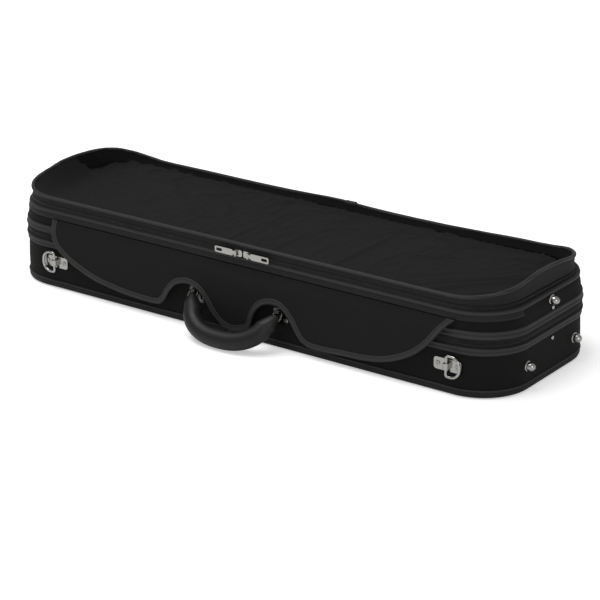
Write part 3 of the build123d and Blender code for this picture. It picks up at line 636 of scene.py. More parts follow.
# %% Plush and lining cloth
def plush(name, dark, light, pile=0.5 * mm):
    finish = Finish(name, Roughness=0.9, Sheen_Weight=0.55, Sheen_Roughness=0.35)
    place = finish.place()
    lie = finish.cloud(place, 16.0, 4.0, 0.6)
    tufts = finish.cloud(place, 700.0, 2.0)
    finish.paint(finish.colours(lie * 0.8 + tufts * 0.25, dark, light))
    finish.raise_by(tufts + lie * 1.5, pile, 0.8)
    return finish


blue_plush = plush("plush", (0.010, 0.016, 0.050, 1.0), (0.026, 0.042, 0.110, 1.0))
board_cloth = plush(
    "board_lining", (0.007, 0.007, 0.008, 1.0), (0.018, 0.018, 0.020, 1.0), 0.3 * mm
)

# %% [markdown]
# ## The base's wrap
#
# One piece of canvas is stretched over the board tray: across the underside, round the foot and up
# the walls to the zip. It is carried round the outline as an open profile, and the middle of the
# underside is filled in. Stretched canvas is never quite flat, so the walls swell by less than a
# millimetre and ripple faintly.


# %% The wrap, foot and welt
def smoothstep(low, high, value):
    t = min(1.0, max(0.0, (value - low) / (high - low)))
    return t * t * (3 - 2 * t)


def ripple(piece, low, high, size, grain=14.0):
    """Moves a wall in and out by up to size, fading out at its two edges."""
    for vertex in piece.data.vertices:
        place = vertex.co
        fade = smoothstep(low, low + 8 * mm, place.z) * smoothstep(high, high - 8 * mm, place.z)
        if fade > 0:
            lift = noise.noise(Vector((place.x * grain, place.y * grain, place.z * grain * 2)))
            out = case_plan.walk(case_plan.along(place.x, place.y))[1]
            vertex.co = place + out * lift * size * fade


def fill_flat(piece, height):
    """Closes the open loop at that height."""
    pick(piece, "VERT", lambda place: abs(place.z - height) < 0.05 * mm)
    bpy.ops.mesh.select_mode(type="EDGE")
    bpy.ops.mesh.select_all(action="DESELECT")
    bpy.ops.mesh.select_non_manifold(extend=False)
    done()
    for edge in piece.data.edges:
        ends = [piece.data.vertices[index].co.z for index in edge.vertices]
        edge.select = edge.select and max(abs(end - height) for end in ends) < 0.05 * mm
    bpy.ops.object.mode_set(mode="EDIT")
    bpy.ops.mesh.edge_face_add()
    bpy.ops.mesh.normals_make_consistent(inside=False)
    done()


under = 18 * mm
shape = [(-6, 0), (-3.4, 0.5), (-1.5, 1.9), (-0.3, 4), (0, 7), (0.2, 13), (0.6, 20)]
shape += [(0.8, 28), (0.8, 36), (0.5, 45), (0.1, 53)]
profile = [(-under, 0), *in_mm(shape), (0, rim_low + 1 * mm), (0, rim_high)]
base_wrap = carry_round("base_canvas_wrap", case_plan, profile, closed=False)
fill_flat(base_wrap, 0.0)
ripple(base_wrap, 10 * mm, rim_low, 0.35 * mm)
lay_cloth(base_wrap)
sit(base_wrap, "base", side_canvas, "canvas", "base_cover", "base_underside", angle=60)

foot_high = 9 * mm
profile = in_mm([(-9, 0.02), (-5, 0), (-2.2, 0.3), (0.2, 1.6), (1.2, 3.6), (1.4, 6)])
profile += in_mm([(1.3, -1.2), (0.5, -0.3), (-0.4, 0)], foot_high)
profile += in_mm([(-1.2, 4), (-4, 1.2), (-8.6, 0.6)])
foot_band = carry_round("foot_band", case_plan, profile)
lay_cloth(foot_band, low=foot_high, flip=True)
sit(foot_band, "base", foot_tape, "binding_tape", angle=50)


def bead(radius, out, height, points=10):
    """A round profile for a piping cord."""
    turns = [2 * math.pi * index / points for index in range(points)]
    return [(out + radius * math.cos(turn), height + radius * math.sin(turn)) for turn in turns]


welt = carry_round("foot_welt", case_plan, bead(1.5 * mm, 0.5 * mm, foot_high + 0.4 * mm))
lay_cloth(welt, low=foot_high)
sit(welt, "base", edge_tape, "binding_tape", "base_bottom_welt", angle=80)
print("wrap", len(base_wrap.data.polygons), "faces")

# %% [markdown]
# ## Tape bound over the rims
#
# Above and below the zip runs a woven tape, folded over the canvas edge and stitched. The fold
# stands up as a rounded ridge along the zip, and the rest lies nearly flat. The two tapes are
# mirror images, so one profile serves both.


# %% Rim tapes
def rim_profile(outer, inner):
    """From the tape's stitched edge at height outer to its folded edge at height inner."""
    up = 1 if inner > outer else -1
    shape = [(-0.3, -0.1), (0.9, 0.0), (1.5, 0.5), (1.75, 1.6), (1.6, 3.2), (1.55, 5.4), (1.8, 6.4)]
    shape += [(2.5, 7.2), (2.9, 8.3), (2.8, 9.3), (2.0, 10.1), (0.8, 10.3), (-0.3, 10.0)]
    return in_mm(shape, outer, up)


base_rim = carry_round("base_rim_tape", case_plan, rim_profile(rim_low, rim_high))
lay_cloth(base_rim, low=rim_low)
lid_rim = carry_round("lid_rim_tape", case_plan, rim_profile(lower_high, lower_low))
lay_cloth(lid_rim, low=lower_high, flip=True)
for rim_tape, body, node in (
    (base_rim, "base", "base_rim_binding"),
    (lid_rim, "lid", "lid_lower_binding"),
):
    sit(rim_tape, body, edge_tape, "binding_tape", node, angle=60)

# %% [markdown]
# ## The lid's wrap and the tape round its top edge
#
# The lid is wrapped the same way, but its end walls lean in, so everything on it is drawn in
# towards the middle by the same amount at the same height. A narrow bead of tape runs along its top
# edge, and along the front and round the front corners a wider strip below it holds the flap.


# %% The lid's wrap, top tape and flap header
def lean_in(piece):
    """Draws the ends of a lid strip in as it rises, as the lid's end walls do."""
    for vertex in piece.data.vertices:
        rise = (vertex.co.z - lower_high) / (lid_top - lower_high)
        share = max(-1.0, min(1.0, vertex.co.x / case_plan.flat_x))
        vertex.co.x -= lean * share * max(0.0, min(1.0, rise))


profile = [(0, lower_low - 0.2 * mm), *in_mm([(0, 0), (0.4, 5), (0.7, 11), (0.4, 18)], lower_high)]
profile += [*in_mm([(0, -3), (-0.6, -1), (-2.4, 0)], lid_top), (-under, lid_top)]
lid_wrap = carry_round("lid_canvas_wrap", case_plan, profile, closed=False)
fill_flat(lid_wrap, lid_top)
ripple(lid_wrap, lower_high, lid_top - 4 * mm, 0.3 * mm)
lean_in(lid_wrap)
lay_cloth(lid_wrap)
sit(lid_wrap, "lid", side_canvas, "canvas", "lid_cover", angle=60)

top_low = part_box("lid_top_binding")[0].z
shape = [(-0.5, -0.6), (1.0, -0.4), (1.9, 0.4), (2.3, 1.9), (2.1, 3.6), (1.3, 4.7), (-0.2, 5.1)]
shape += [(-1.9, 5.0), (-3.2, 4.7), (-3.3, 4.4), (-0.6, 3.8)]
top_tape = carry_round("lid_top_tape", case_plan, in_mm(shape, top_low))
lean_in(top_tape)
lay_cloth(top_tape, low=top_low)
header_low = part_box("flap_header")[0].z
shape = [(-0.3, 0.0), (1.2, 0.0), (1.8, 0.7), (1.9, 3.0), (1.7, 6.6), (1.2, 7.6), (-0.3, 7.7)]
header = carry_round("flap_header_tape", case_plan, in_mm(shape, header_low))
header_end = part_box("flap_header")[1].y
pick(header, "VERT", lambda place: place.y > header_end)
bpy.ops.mesh.delete(type="VERT")
bpy.ops.mesh.select_all(action="SELECT")
bpy.ops.mesh.fill_holes(sides=0)
bpy.ops.mesh.normals_make_consistent(inside=False)
done()
lean_in(header)
lay_cloth(header, low=header_low)
for strip, node, finish in (
    (top_tape, "lid_top_binding", edge_tape),
    (header, "flap_header", foot_tape),
):
    sit(strip, "lid", finish, "binding_tape", node, angle=60)

# %% [markdown]
# ## Two coil zips
#
# A coil zip is a nylon spiral sewn to the edge of each tape. From outside it shows as a row of
# close little loops. One loop is modelled and copied along the outline, each half of the zip with
# its own row, so the halves part when the lid opens. The tape behind has a raised line of weave.


# %% One loop of the coil, copied along a line
coil_pitch = 2.5 * mm
let_go()
bpy.ops.mesh.primitive_cube_add(size=1, location=(0, 0, 0))
loop = bpy.context.object
loop.name = "coil_loop"
loop.scale = (1.7 * mm, 2.0 * mm, 1.7 * mm)
settle(loop)
finish_with(loop, "BEVEL", width=0.55 * mm, segments=1)


def string_of(name, pattern, plan, places, out, height):
    """Copies a small piece to each distance along an outline, as one mesh."""
    rows = bmesh.new()
    for distance in places:
        place, away = plan.walk(distance)
        x, y = place.x + away.x * out, place.y + away.y * out
        spot = Vector((x, y, height(x, y)))
        turn = Matrix.Rotation(math.atan2(away.y, away.x) - math.pi / 2, 4, "Z")
        before = len(rows.verts)
        rows.from_mesh(pattern.data)
        rows.verts.ensure_lookup_table()
        for vertex in rows.verts[before:]:
            vertex.co = Matrix.Translation(spot) @ turn @ vertex.co
    return made_of(name, rows)


def steps_between(first, last, pitch, shift=0.0):
    count = int((last - first) / pitch)
    return [first + shift + index * pitch for index in range(count)]


spine_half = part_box("hinge_spine")[1].x
zip_run = (spine_half, case_plan.length - spine_half)
halves = (
    ("base", "base_zip", "base_zip_tape", split_z - 1.0 * mm, 0.0),
    ("lid", "lid_zip", "lid_zip_tape", split_z + 1.0 * mm, coil_pitch / 2),
)
for body, name, node, height, shift in halves:
    places = steps_between(*zip_run, coil_pitch, shift)
    coil = string_of(name + "_coil", loop, case_plan, places, 0.7 * mm, lambda x, y, z=height: z)
    sit(coil, body, nylon, "zip_tape", angle=40)
    up = -1 if body == "base" else 1
    outer = 5.6 if body == "base" else 5.9
    shape = [(0.6, 1.8), (0.6, 2.3), (1.05, 2.7), (1.05, 3.5), (0.6, 3.9), (0.5, outer)]
    shape += [(-0.7, outer), (-0.7, 0.4), (0.2, 0.4), (0.3, 1.7)]
    profile = in_mm(shape, split_z, up)
    strip = carry_round(name + "_tape", case_plan, profile, start=spine_half)
    lay_cloth(strip, low=split_z)
    sit(strip, body, zip_tape, "zip_tape", node, angle=50)
print("loops in each half of the main zip:", len(places))

# %% [markdown]
# ## The flap over the main zip
#
# The flap is a stiff panel of canvas with tape bound round its cut edge. Its lower edge dips in two
# wide arches with a lobe between them. A grid works well for such a shape: every column runs from
# the straight top seam down to the outline, which is one smooth curve through a few points. The
# columns then get a thickness, a lean towards the lid at the top and a slight fullness between the
# seams.


# %% The flap's outline as one smooth curve
flap_line = [(-312, 100), (-310.5, 88), (-303, 67), (-284, 50.5), (-262, 40), (-238, 31.5)]
flap_line += [(-203, 24.5), (-168, 21), (-127, 21), (-116, 28), (-107, 42), (-96, 54.5)]
flap_line += [(-84, 60), (-71, 61), (-58, 56), (-47, 45), (-35, 28), (-21, 15.5), (-5, 11)]
flap_line += [(11, 14.5), (23, 20), (34, 45), (45, 57), (57, 62), (69, 62.5), (80, 57)]
flap_line += [(90, 45), (98, 32), (107, 21), (119, 16), (139, 15.2), (168, 17), (206, 19.5)]
flap_line += [(230, 23.5), (253, 31.5), (277, 44.5), (296, 61), (311, 79), (322, 92), (331, 100)]
flap_line = [Vector((x * mm, z * mm)) for x, z in flap_line]


def smooth_line(points, spacing):
    """Points every so often along a curve that passes through all the given ones."""
    curve = []
    for index in range(len(points) - 1):
        first, second = points[index], points[index + 1]
        before = points[index - 1] if index else 2 * first - second
        after = points[index + 2] if index + 2 < len(points) else 2 * second - first
        chord = (second - first).length
        leave = (second - before).normalized() * chord
        reach = (after - first).normalized() * chord
        steps = 12
        for step in range(steps):
            t = step / steps
            ease = 3 * t * t - 2 * t**3
            place = (1 - ease) * first + ease * second
            place += (t**3 - 2 * t * t + t) * leave + (t**3 - t * t) * reach
            curve.append(place)
    curve.append(points[-1])
    spaced, due, gone = [curve[0]], spacing, 0.0
    for first, second in zip(curve, curve[1:]):
        part = (second - first).length
        while part > 0 and gone + part >= due:
            spaced.append(first.lerp(second, (due - gone) / part))
            due += spacing
        gone += part
    return spaced + [curve[-1]]


flap_top = flap_line[0].y
flap_bend = flap_top - 14 * mm
flap_edge = smooth_line(flap_line, 3 * mm)
print("flap outline", round(sum((b - a).length for a, b in zip(flap_edge, flap_edge[1:])), 3), "m")

# %% Where the flap stands off the case
front = -half_y
stand = abs(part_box("front_flap")[0].y) - half_y
tuck = 6.4 * mm                   # how far the flap draws in towards the header at its top
curl = 1.2 * mm                   # how far its lower edge turns in


def flap_face(x, z):
    """How far the flap's outer face stands out of the case's front at a place."""
    top = smoothstep(flap_bend - 4 * mm, flap_top, z)
    drop = smoothstep(40 * mm, 12 * mm, z)
    bow = 0.7 * mm * noise.noise(Vector((x * 9.0, z * 14.0, 4.0)))
    bow += 0.5 * mm * noise.noise(Vector((x * 28.0, z * 30.0, 9.0)))
    middle = math.sin(math.pi * max(0.0, min(1.0, (flap_top - z) / (flap_top - 15 * mm))))
    return stand - tuck * top - curl * drop + (0.9 * mm + bow) * middle**0.6


# %% The flap's field
def flap_low(x):
    """The height of the flap's edge at a distance along the case."""
    for first, second in zip(flap_edge, flap_edge[1:]):
        if first.x <= x <= second.x and second.x > first.x:
            return first.y + (second.y - first.y) * (x - first.x) / (second.x - first.x)
    return flap_top


flap = grid("zip_flap", 200, 20)
flap_ends = (flap_edge[0].x + 0.5 * mm, flap_edge[-1].x - 0.5 * mm)
for vertex in flap.data.vertices:
    across, up = (vertex.co.x + 1) / 2, (vertex.co.y + 1) / 2
    x = flap_ends[0] + (flap_ends[1] - flap_ends[0]) * across
    low = flap_low(x) + 1.2 * mm
    z = low + (flap_top - 0.2 * mm - low) * up
    vertex.co = (x, front - flap_face(x, z), z)
pick(flap, "FACE", lambda place: True)
bpy.ops.mesh.normals_make_consistent(inside=False)
done()
if flap.data.polygons[0].normal.y > 0:
    pick(flap, "FACE", lambda place: True)
    bpy.ops.mesh.flip_normals()
    done()
lay_flat(flap, 0, 2)
finish_with(flap, "SOLIDIFY", thickness=1.4 * mm, offset=-1)
sit(flap, "front_flap", flap_canvas, "flap_canvas", "front_flap", angle=60)
print("flap stands out", round(stand, 4), "m")

# %% The tape round the flap
tape_section = [(0.0, 0.0), (-0.5, 0.9), (0.2, 1.55), (1.2, 1.6), (2.4, 1.15), (6.4, 0.95)]
tape_section += [(7.3, 0.6), (7.5, 0.0), (7.4, -1.5), (3.0, -2.0), (0.4, -1.6)]


def edge_ways(line, index):
    """At a point of the outline, the direction that leads into the flap."""
    ahead = line[min(index + 1, len(line) - 1)] - line[max(index - 1, 0)]
    ahead.normalize()
    return Vector((-ahead.y, ahead.x))


rim = bmesh.new()
rings = []
for index, spot in enumerate(flap_edge):
    inward = edge_ways(flap_edge, index)
    ring = []
    for into, out in tape_section:
        x = spot.x + inward.x * into * mm
        z = min(spot.y + inward.y * into * mm, flap_top)
        ring.append(rim.verts.new((x, front - flap_face(x, z) - out * mm, z)))
    rings.append(ring)
for one, two in zip(rings, rings[1:]):
    for k in range(len(one)):
        after = (k + 1) % len(one)
        rim.faces.new((one[k], one[after], two[after], two[k]))
rim.faces.new(rings[0])
rim.faces.new(list(reversed(rings[-1])))
bmesh.ops.recalc_face_normals(rim, faces=rim.faces)
flap_tape = made_of("zip_flap_tape", rim)


def lay_along_ring(piece, around, spacing, widths):
    """The map "cloth" for a swept tape: metres along it, and metres across from its edge."""
    layer = piece.data.uv_layers.new(name="cloth")
    for loop in piece.data.loops:
        ring, spot = divmod(loop.vertex_index, around)
        layer.data[loop.index].uv = (ring * spacing, widths[spot])


lay_along_ring(flap_tape, len(tape_section), 3 * mm, [into * mm for into, out in tape_section])
sit(flap_tape, "front_flap", edge_tape, "binding_tape", "front_flap_binding", angle=60)
print("flap tape", len(flap_tape.data.polygons), "faces")

# %% [markdown]
# ## The music pocket on the lid
#
# The pocket is low at the back, where it is sewn on, and stands up at the front. A zip runs round
# its front and its ends near its foot, tape above the zip makes its wall, and a piping cord joins
# the wall to the top panel. Both ends stand up higher than the middle. All of these follow a second
# outline, a little smaller than the case, so the same strips carry them.

# %% The pocket's own outline and heights
cord_out = 2.6 * mm               # from the piping's centre line to the outside of its solid
pocket_low, pocket_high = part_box("pocket_piping")
pocket_front = -(pocket_low.y + cord_out)
pocket_back = pocket_high.y - cord_out
pocket_plan = Plan(
    pocket_high.x - cord_out,
    (pocket_front + pocket_back) / 2,
    corner_radius,
    (pocket_back - pocket_front) / 2,
)
front_high, back_high = pocket_high.z - cord_out, pocket_low.z + cord_out
floor_z = lid_top + 0.2 * mm
zip_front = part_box("pocket_slider_left")
zip_front = (zip_front[0].z + zip_front[1].z) / 2

# How far the piping stands above the pocket's even slope, in mm, at distances round it in mm. The
# back sags a little between its joint and its corners, and both ends stand up.
rises = [(0, 1.5), (24, 1.2), (50, 0), (80, -0.9), (130, -1.4), (255, -1.4), (290, -0.6)]
rises += [(319, 0.9), (338, 4.2), (360, 10), (383, 15.6), (405, 18), (435, 19.7), (466, 20)]
rises += [(498, 17.6), (520, 12.5), (540, 8.5), (555, 6.3), (577, 3.5), (605, 1.2), (640, 0)]
rises += [(1270, 0), (1300, 1.2), (1330, 5), (1352, 9), (1374, 12.8), (1394, 16), (1415, 19)]
rises += [(1440, 20), (1470, 19.5), (1500, 16.8), (1525, 14.3), (1553, 11.5), (1582, 6.3)]
rises += [(1604, 4.9), (1626, 4), (1648, 2.6), (1671, 1.1), (1694, 0.3), (1740, -1.1)]
rises += [(1790, -1.4), (1830, -1.2), (1870, -0.3), (1890, 0.6), (1920, 1.5)]
back_lean = 6 * mm                # how far forward the back wall leans in the middle
back_lift = 0.8 * back_lean       # how much higher the piping stands where it leans


def rise_of_ends(x, y):
    distance = pocket_plan.along(x, y) / mm
    for (first, low), (second, high) in zip(rises, rises[1:]):
        if first <= distance <= second:
            return (low + (high - low) * (distance - first) / (second - first)) * mm
    return 0.0


def lean_of_back(x, y):
    """The share of the forward lean at a place: all of it in the middle of the back."""
    return smoothstep(345 * mm, 235 * mm, abs(x)) * smoothstep(60 * mm, 117 * mm, y)


def piping_height(x, y):
    back = (y + pocket_front) / (pocket_front + pocket_back)
    sag = 0.7 * mm * noise.noise(Vector((x * 7.0, y * 7.0, 2.0)))
    slope = front_high + (back_high - front_high) * back
    return slope + rise_of_ends(x, y) + back_lift * lean_of_back(x, y) + sag


def zip_height(x, y):
    back = (y + pocket_front) / (pocket_front + pocket_back)
    return zip_front + (floor_z + 0.4 * mm - zip_front) * back


print("pocket", round(2 * (pocket_plan.flat_x + pocket_plan.radius), 3), "m long")


# %% Strips whose heights follow the pocket
def carry_pocket(name, profile, closed=True):
    """A strip whose profile heights are shares: 0 at the lid, 1 at the zip, 2 at the piping."""
    strip = carry_round(name, pocket_plan, [(out * mm, level) for out, level in profile], closed)
    for vertex in strip.data.vertices:
        x, y, level = vertex.co
        foot, coil, cord = floor_z, zip_height(x, y), piping_height(x, y)
        if level <= 1:
            vertex.co.z = foot + (coil - foot) * level
        else:
            vertex.co.z = coil + (cord - coil) * (level - 1)
            vertex.co.y -= back_lean * lean_of_back(x, y) * (level - 1)
    return strip


shape = [(-2.0, 0.0), (0.9, 0.0), (0.9, 0.25), (0.4, 0.55), (0.3, 0.93), (-0.8, 0.93), (-2.0, 0.5)]
pocket_foot = carry_pocket("pocket_zip_lower_tape", shape)
lay_cloth(pocket_foot, pocket_plan, floor_z)
sit(pocket_foot, "lid", zip_tape, "zip_tape", "pocket_zip_lower")
shape = [(0.3, 1.10), (0.3, 1.2), (0.8, 1.26), (0.8, 1.36), (0.35, 1.44), (0.5, 1.62)]
shape += [(0.9, 1.8), (0.7, 2.0), (-1.2, 2.0), (-1.4, 1.5), (-1.0, 1.1)]
pocket_wall = carry_pocket("pocket_gusset_tape", shape)
lay_cloth(pocket_wall, pocket_plan, floor_z)
sit(pocket_wall, "pocket_flap", zip_tape, "zip_tape", "pocket_gusset")

# %% Piping, its seam and the tab over its joint
piping_radius = 2.5 * mm
piping = carry_round("pocket_piping_cord", pocket_plan, bead(piping_radius, 0, 0, 12))
for vertex in piping.data.vertices:
    x, y, level = vertex.co
    vertex.co.z = level + piping_height(x, y)
    vertex.co.y -= back_lean * lean_of_back(x, y)
lay_cloth(piping, pocket_plan, front_high - 2 * mm)
sit(piping, "pocket_flap", edge_tape, "binding_tape", "pocket_piping")


# %% The pocket's zip: two rows of loops, a coil pitch apart
front_run = (pocket_plan.flat_x + 60 * mm, pocket_plan.length - pocket_plan.flat_x - 60 * mm)
for body, name, drop, shift in (
    ("lid", "pocket_zip_lower_coil", -0.85 * mm, 0.0),
    ("pocket_flap", "pocket_zip_upper_coil", 0.85 * mm, coil_pitch / 2),
):
    places = steps_between(*front_run, coil_pitch, shift)
    coil = string_of(
        name, loop, pocket_plan, places, 0.7 * mm, lambda x, y, d=drop: zip_height(x, y) + d
    )
    sit(coil, body, nylon, "zip_tape")
bpy.data.objects.remove(loop)
print("loops in each half of the pocket zip:", len(places))

# %% [markdown]
# ## The pocket's top panel
#
# The panel is a single layer of canvas, sewn in with a little fullness. An empty pocket's panel
# drops onto the lid behind and hangs in a shallow curve in front. The outline is pinned to the
# piping and the cloth simulation does the rest, with the lid's top under it. Behind and at the
# ends a facing leads down to the panel, its cloth painted near black as painted shade.


# %% A grid that fits a rounded rectangle
def rounded_place(plan, inset, u, v):
    """The place in the plan of a grid point, with u and v from -1 to 1."""
    x, y, r = plan.flat_x, plan.flat_y, plan.radius - inset
    straight = y / (y + math.pi / 2 * plan.radius * 0.75)
    if abs(v) <= straight:
        return Vector((u * (x + r), plan.middle_y + y * v / straight))
    turn = (abs(v) - straight) / (1 - straight) * math.pi / 2
    across = u * (x + r * math.cos(turn))
    return Vector((across, plan.middle_y + math.copysign(y + r * math.sin(turn), v)))


panel = grid("pocket_panel", 150, 56)
seam_in = 1.2 * mm
rim_group = panel.vertex_groups.new(name="seam")
table_z = lid_top + 1.2 * mm


def facing_share(x, y):
    """Where the panel hangs from a facing: 1 behind and at the ends, 0 along the front."""
    return smoothstep(-55 * mm, 45 * mm, y)


def hang(x, y, v):
    """The height of the panel's loose middle: low behind, with folds, and higher in front."""
    height = table_z + 15 * mm * ((1 - v) / 2) ** 2.2
    behind = smoothstep(-0.35, 0.55, v)
    fold_y = pocket_back - 34 * mm + 22 * mm * noise.noise(Vector((x * 7.0, 0.0, 5.0)))
    height += 4.2 * mm * math.exp(-(((y - fold_y) / (8 * mm)) ** 2)) * behind
    crossing = noise.noise(Vector((x * 10.0 + y * 7.0, y * 13.0 - x * 5.0, 3.0)))
    height += 3.0 * mm * max(0.0, 1 - abs(crossing) * 5) * behind
    height += 0.9 * mm * (noise.noise(Vector((x * 24, y * 24, 9.0))) + 0.4)
    return max(height, table_z)


for vertex in panel.data.vertices:
    u, v = vertex.co.x, vertex.co.y
    x, y = rounded_place(pocket_plan, seam_in, u, v)
    hem = min(1 - abs(u), 1 - abs(v))
    if hem < 0.001:
        rim_group.add([vertex.index], 1.0, "REPLACE")
    rim_z = piping_height(x, y) + 0.3 * mm
    rest_z = hang(x, y, v)
    from_end = (1 - abs(u)) * (pocket_plan.flat_x + pocket_plan.radius)
    from_side = (1 - abs(v)) * (pocket_plan.flat_y + pocket_plan.radius)
    steep = 14 * mm + 11 * mm * (1 - facing_share(x, y))
    near_end = 1 - smoothstep(0, 26 * mm, from_end)
    near_side = 1 - smoothstep(0, steep, from_side)
    fall = facing_share(x, y)
    near_end += fall * (max(0.0, 1 - from_end / (22 * mm)) ** 2 - near_end)
    near_side += fall * (max(0.0, 1 - from_side / (14 * mm)) ** 2 - near_side)
    share = max(near_end, near_side)
    lean = back_lean * lean_of_back(x, y) * (1 - smoothstep(0, 22 * mm, from_side))
    vertex.co = (x, y - lean, rest_z + (rim_z - rest_z) * share)
lay_flat(panel, 0, 1)

# %% Letting the panel drop
let_go()
bpy.ops.mesh.primitive_plane_add(size=1.2, location=(0, 0, table_z - 0.6 * mm))
table = bpy.context.object
table.modifiers.new("Collision", "COLLISION")
table.collision.thickness_outer = 0.5 * mm
table.collision.cloth_friction = 20
hold(panel)
cloth = panel.modifiers.new("Cloth", "CLOTH")
cloth.settings.quality = 6
cloth.settings.mass = 0.25
cloth.settings.tension_stiffness = 25
cloth.settings.compression_stiffness = 12
cloth.settings.shear_stiffness = 6
cloth.settings.bending_stiffness = 0.6
cloth.settings.air_damping = 2
cloth.settings.vertex_group_mass = "seam"
cloth.settings.shrink_min = -0.012
cloth.collision_settings.distance_min = 0.5 * mm
cloth.point_cache.frame_start = 1
cloth.point_cache.frame_end = 40
for moment in range(1, 41):
    bpy.context.scene.frame_set(moment)
hold(panel)
bpy.ops.object.modifier_apply(modifier="Cloth")
bpy.context.scene.frame_set(1)
bpy.data.objects.remove(table)
print("panel drops to", round(min(vertex.co.z for vertex in panel.data.vertices), 4), "m")
panel.vertex_groups.clear()
finish_with(panel, "SOLIDIFY", thickness=1.0 * mm, offset=-1)
sit(panel, "pocket_flap", music_canvas, "pocket_canvas", "pocket_top")
panel_flat = (2 * (pocket_plan.flat_x + pocket_plan.radius) * 1.012,)
panel_flat += ((pocket_front + pocket_back) * 1.012,)

# %% The facing behind and at the ends
facing_reach = 15 * mm            # how far in from the piping the facing's lower edge lies
reach = facing_reach / mm
shape = [(-1.4, 2.0), (-2.4, 2.0), (-reach, 1.0), (1 - reach, 1.0)]
facing = carry_pocket("pocket_facing_tape", shape)
for vertex in facing.data.vertices:
    x, y, z = vertex.co
    top = z > piping_height(x, y) - 0.2 * mm
    share = facing_share(x, y)
    if top:
        vertex.co.z = piping_height(x, y) - 0.3 * mm - 3 * mm * (1 - share)
    else:
        out = pocket_plan.walk(pocket_plan.along(x, y))[1]
        place = Vector((x, y)) + out.xy * (facing_reach - 3 * mm) * (1 - share)
        drop = (piping_height(x, y) - table_z) * 0.72
        vertex.co = (*place, piping_height(x, y) - 3 * mm - (drop - 3 * mm) * share)
        vertex.co.y -= 0.5 * back_lean * lean_of_back(x, y)
lay_cloth(facing, pocket_plan, floor_z)
# The facing's cloth is painted far darker than the canvas around it: painted shade for the steep
# strip under the piping.
sit(facing, "pocket_flap", facing_painted_shade, "zip_tape")

# %% The tab over the piping's joint
tab_low, tab_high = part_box("pocket_tab")
let_go()
bpy.ops.mesh.primitive_cylinder_add(
    vertices=20, radius=3.6 * mm, depth=16 * mm, end_fill_type="NGON"
)
tab = bpy.context.object
tab.name = "pocket_tab_tape"
tab.rotation_euler = (0, math.pi / 2, 0)
tab_x = (tab_low.x + tab_high.x) / 2
tab.location = (tab_x, pocket_back - back_lean, piping_height(tab_x, pocket_back))
settle(tab)
pick(tab, "FACE", lambda place: place.x > tab_high.x - 0.1 * mm or place.x < tab_low.x + 0.1 * mm)
bpy.ops.mesh.inset(thickness=0.8 * mm)
done()
finish_with(tab, "BEVEL", width=0.5 * mm, segments=2)
lay_flat(tab, 1, 0)
sit(tab, "pocket_flap", edge_tape, "binding_tape", "pocket_tab")

# %% [markdown]
# ## Padding inside, the hinge's spine and the stays
#
# The bed, the neck rest and the accessory box are foam or board under plush, so each is remeshed
# from its solid, rounded and left a little uneven. The lid's lining is quilted in diamonds. The
# spine is a strip of canvas over the hinge, and the stays are ribbon between the side walls. Both
# bend as the lid turns, so they are drawn at rest to come out right when it is open.


# %% Padded copies of the soft solids
def soften(name, node, voxel, rounds, uneven, finish, slot):
    """A remeshed, rounded and slightly uneven copy of a solid, which it stands for."""
    solid = frame["nodes"][node]
    piece = bpy.data.objects.new(name, solid.data.copy())
    piece.data.transform(solid.matrix_world)
    piece.data.materials.clear()
    bpy.context.scene.collection.objects.link(piece)
    finish_with(piece, "REMESH", mode="VOXEL", voxel_size=voxel)
    finish_with(piece, "SMOOTH", factor=0.6, iterations=rounds)
    directions = [vertex.normal.copy() for vertex in piece.data.vertices]
    for vertex, out in zip(piece.data.vertices, directions):
        lift = noise.noise(vertex.co * 18.0) + 0.5 * noise.noise(vertex.co * 45.0)
        vertex.co = vertex.co + out * lift * uneven
    sit(piece, frame["nodes"][node]["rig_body"], finish, slot, node, angle=70)
    return piece


soften("bed_padding", "bed_cushion", 4 * mm, 6, 0.9 * mm, blue_plush, "plush")
soften("neck_rest_pad", "neck_rest", 2.2 * mm, 8, 0.5 * mm, blue_plush, "plush")
soften("accessory_box_lined", "accessory_box", 2 * mm, 2, 0.15 * mm, blue_plush, "plush")
soften("accessory_lid_padded", "accessory_lid", 1.5 * mm, 2, 0.2 * mm, blue_plush, "plush")
soften("neck_strap_ribbon", "neck_strap", 1 * mm, 3, 0.1 * mm, ribbon, "ribbon")
soften("bow_loop_ribbons", "bow_tip_loops", 1 * mm, 3, 0.1 * mm, ribbon, "ribbon")
soften("accessory_pull_ribbon", "accessory_lid_tab", 0.45 * mm, 1, 0.05 * mm, ribbon, "ribbon")

lining = soften("lid_lining_quilted", "lid_lining", 3 * mm, 3, 0.1 * mm, blue_plush, "plush")
lining_low, lining_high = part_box("lid_lining")
lining_middle = (lining_low.z + lining_high.z) / 2
diamond = 42 * mm                 # across one diamond of the quilting
for vertex in lining.data.vertices:
    x, y, z = vertex.co
    if z < lining_middle:
        first = abs(math.sin((x + y) / diamond * math.pi))
        second = abs(math.sin((x - y) / diamond * math.pi))
        edge = min(lining_high.x - abs(x), lining_high.y - abs(y))
        vertex.co.z += (0.8 - 3.0 * math.sqrt(first * second)) * mm * smoothstep(0, 14 * mm, edge)

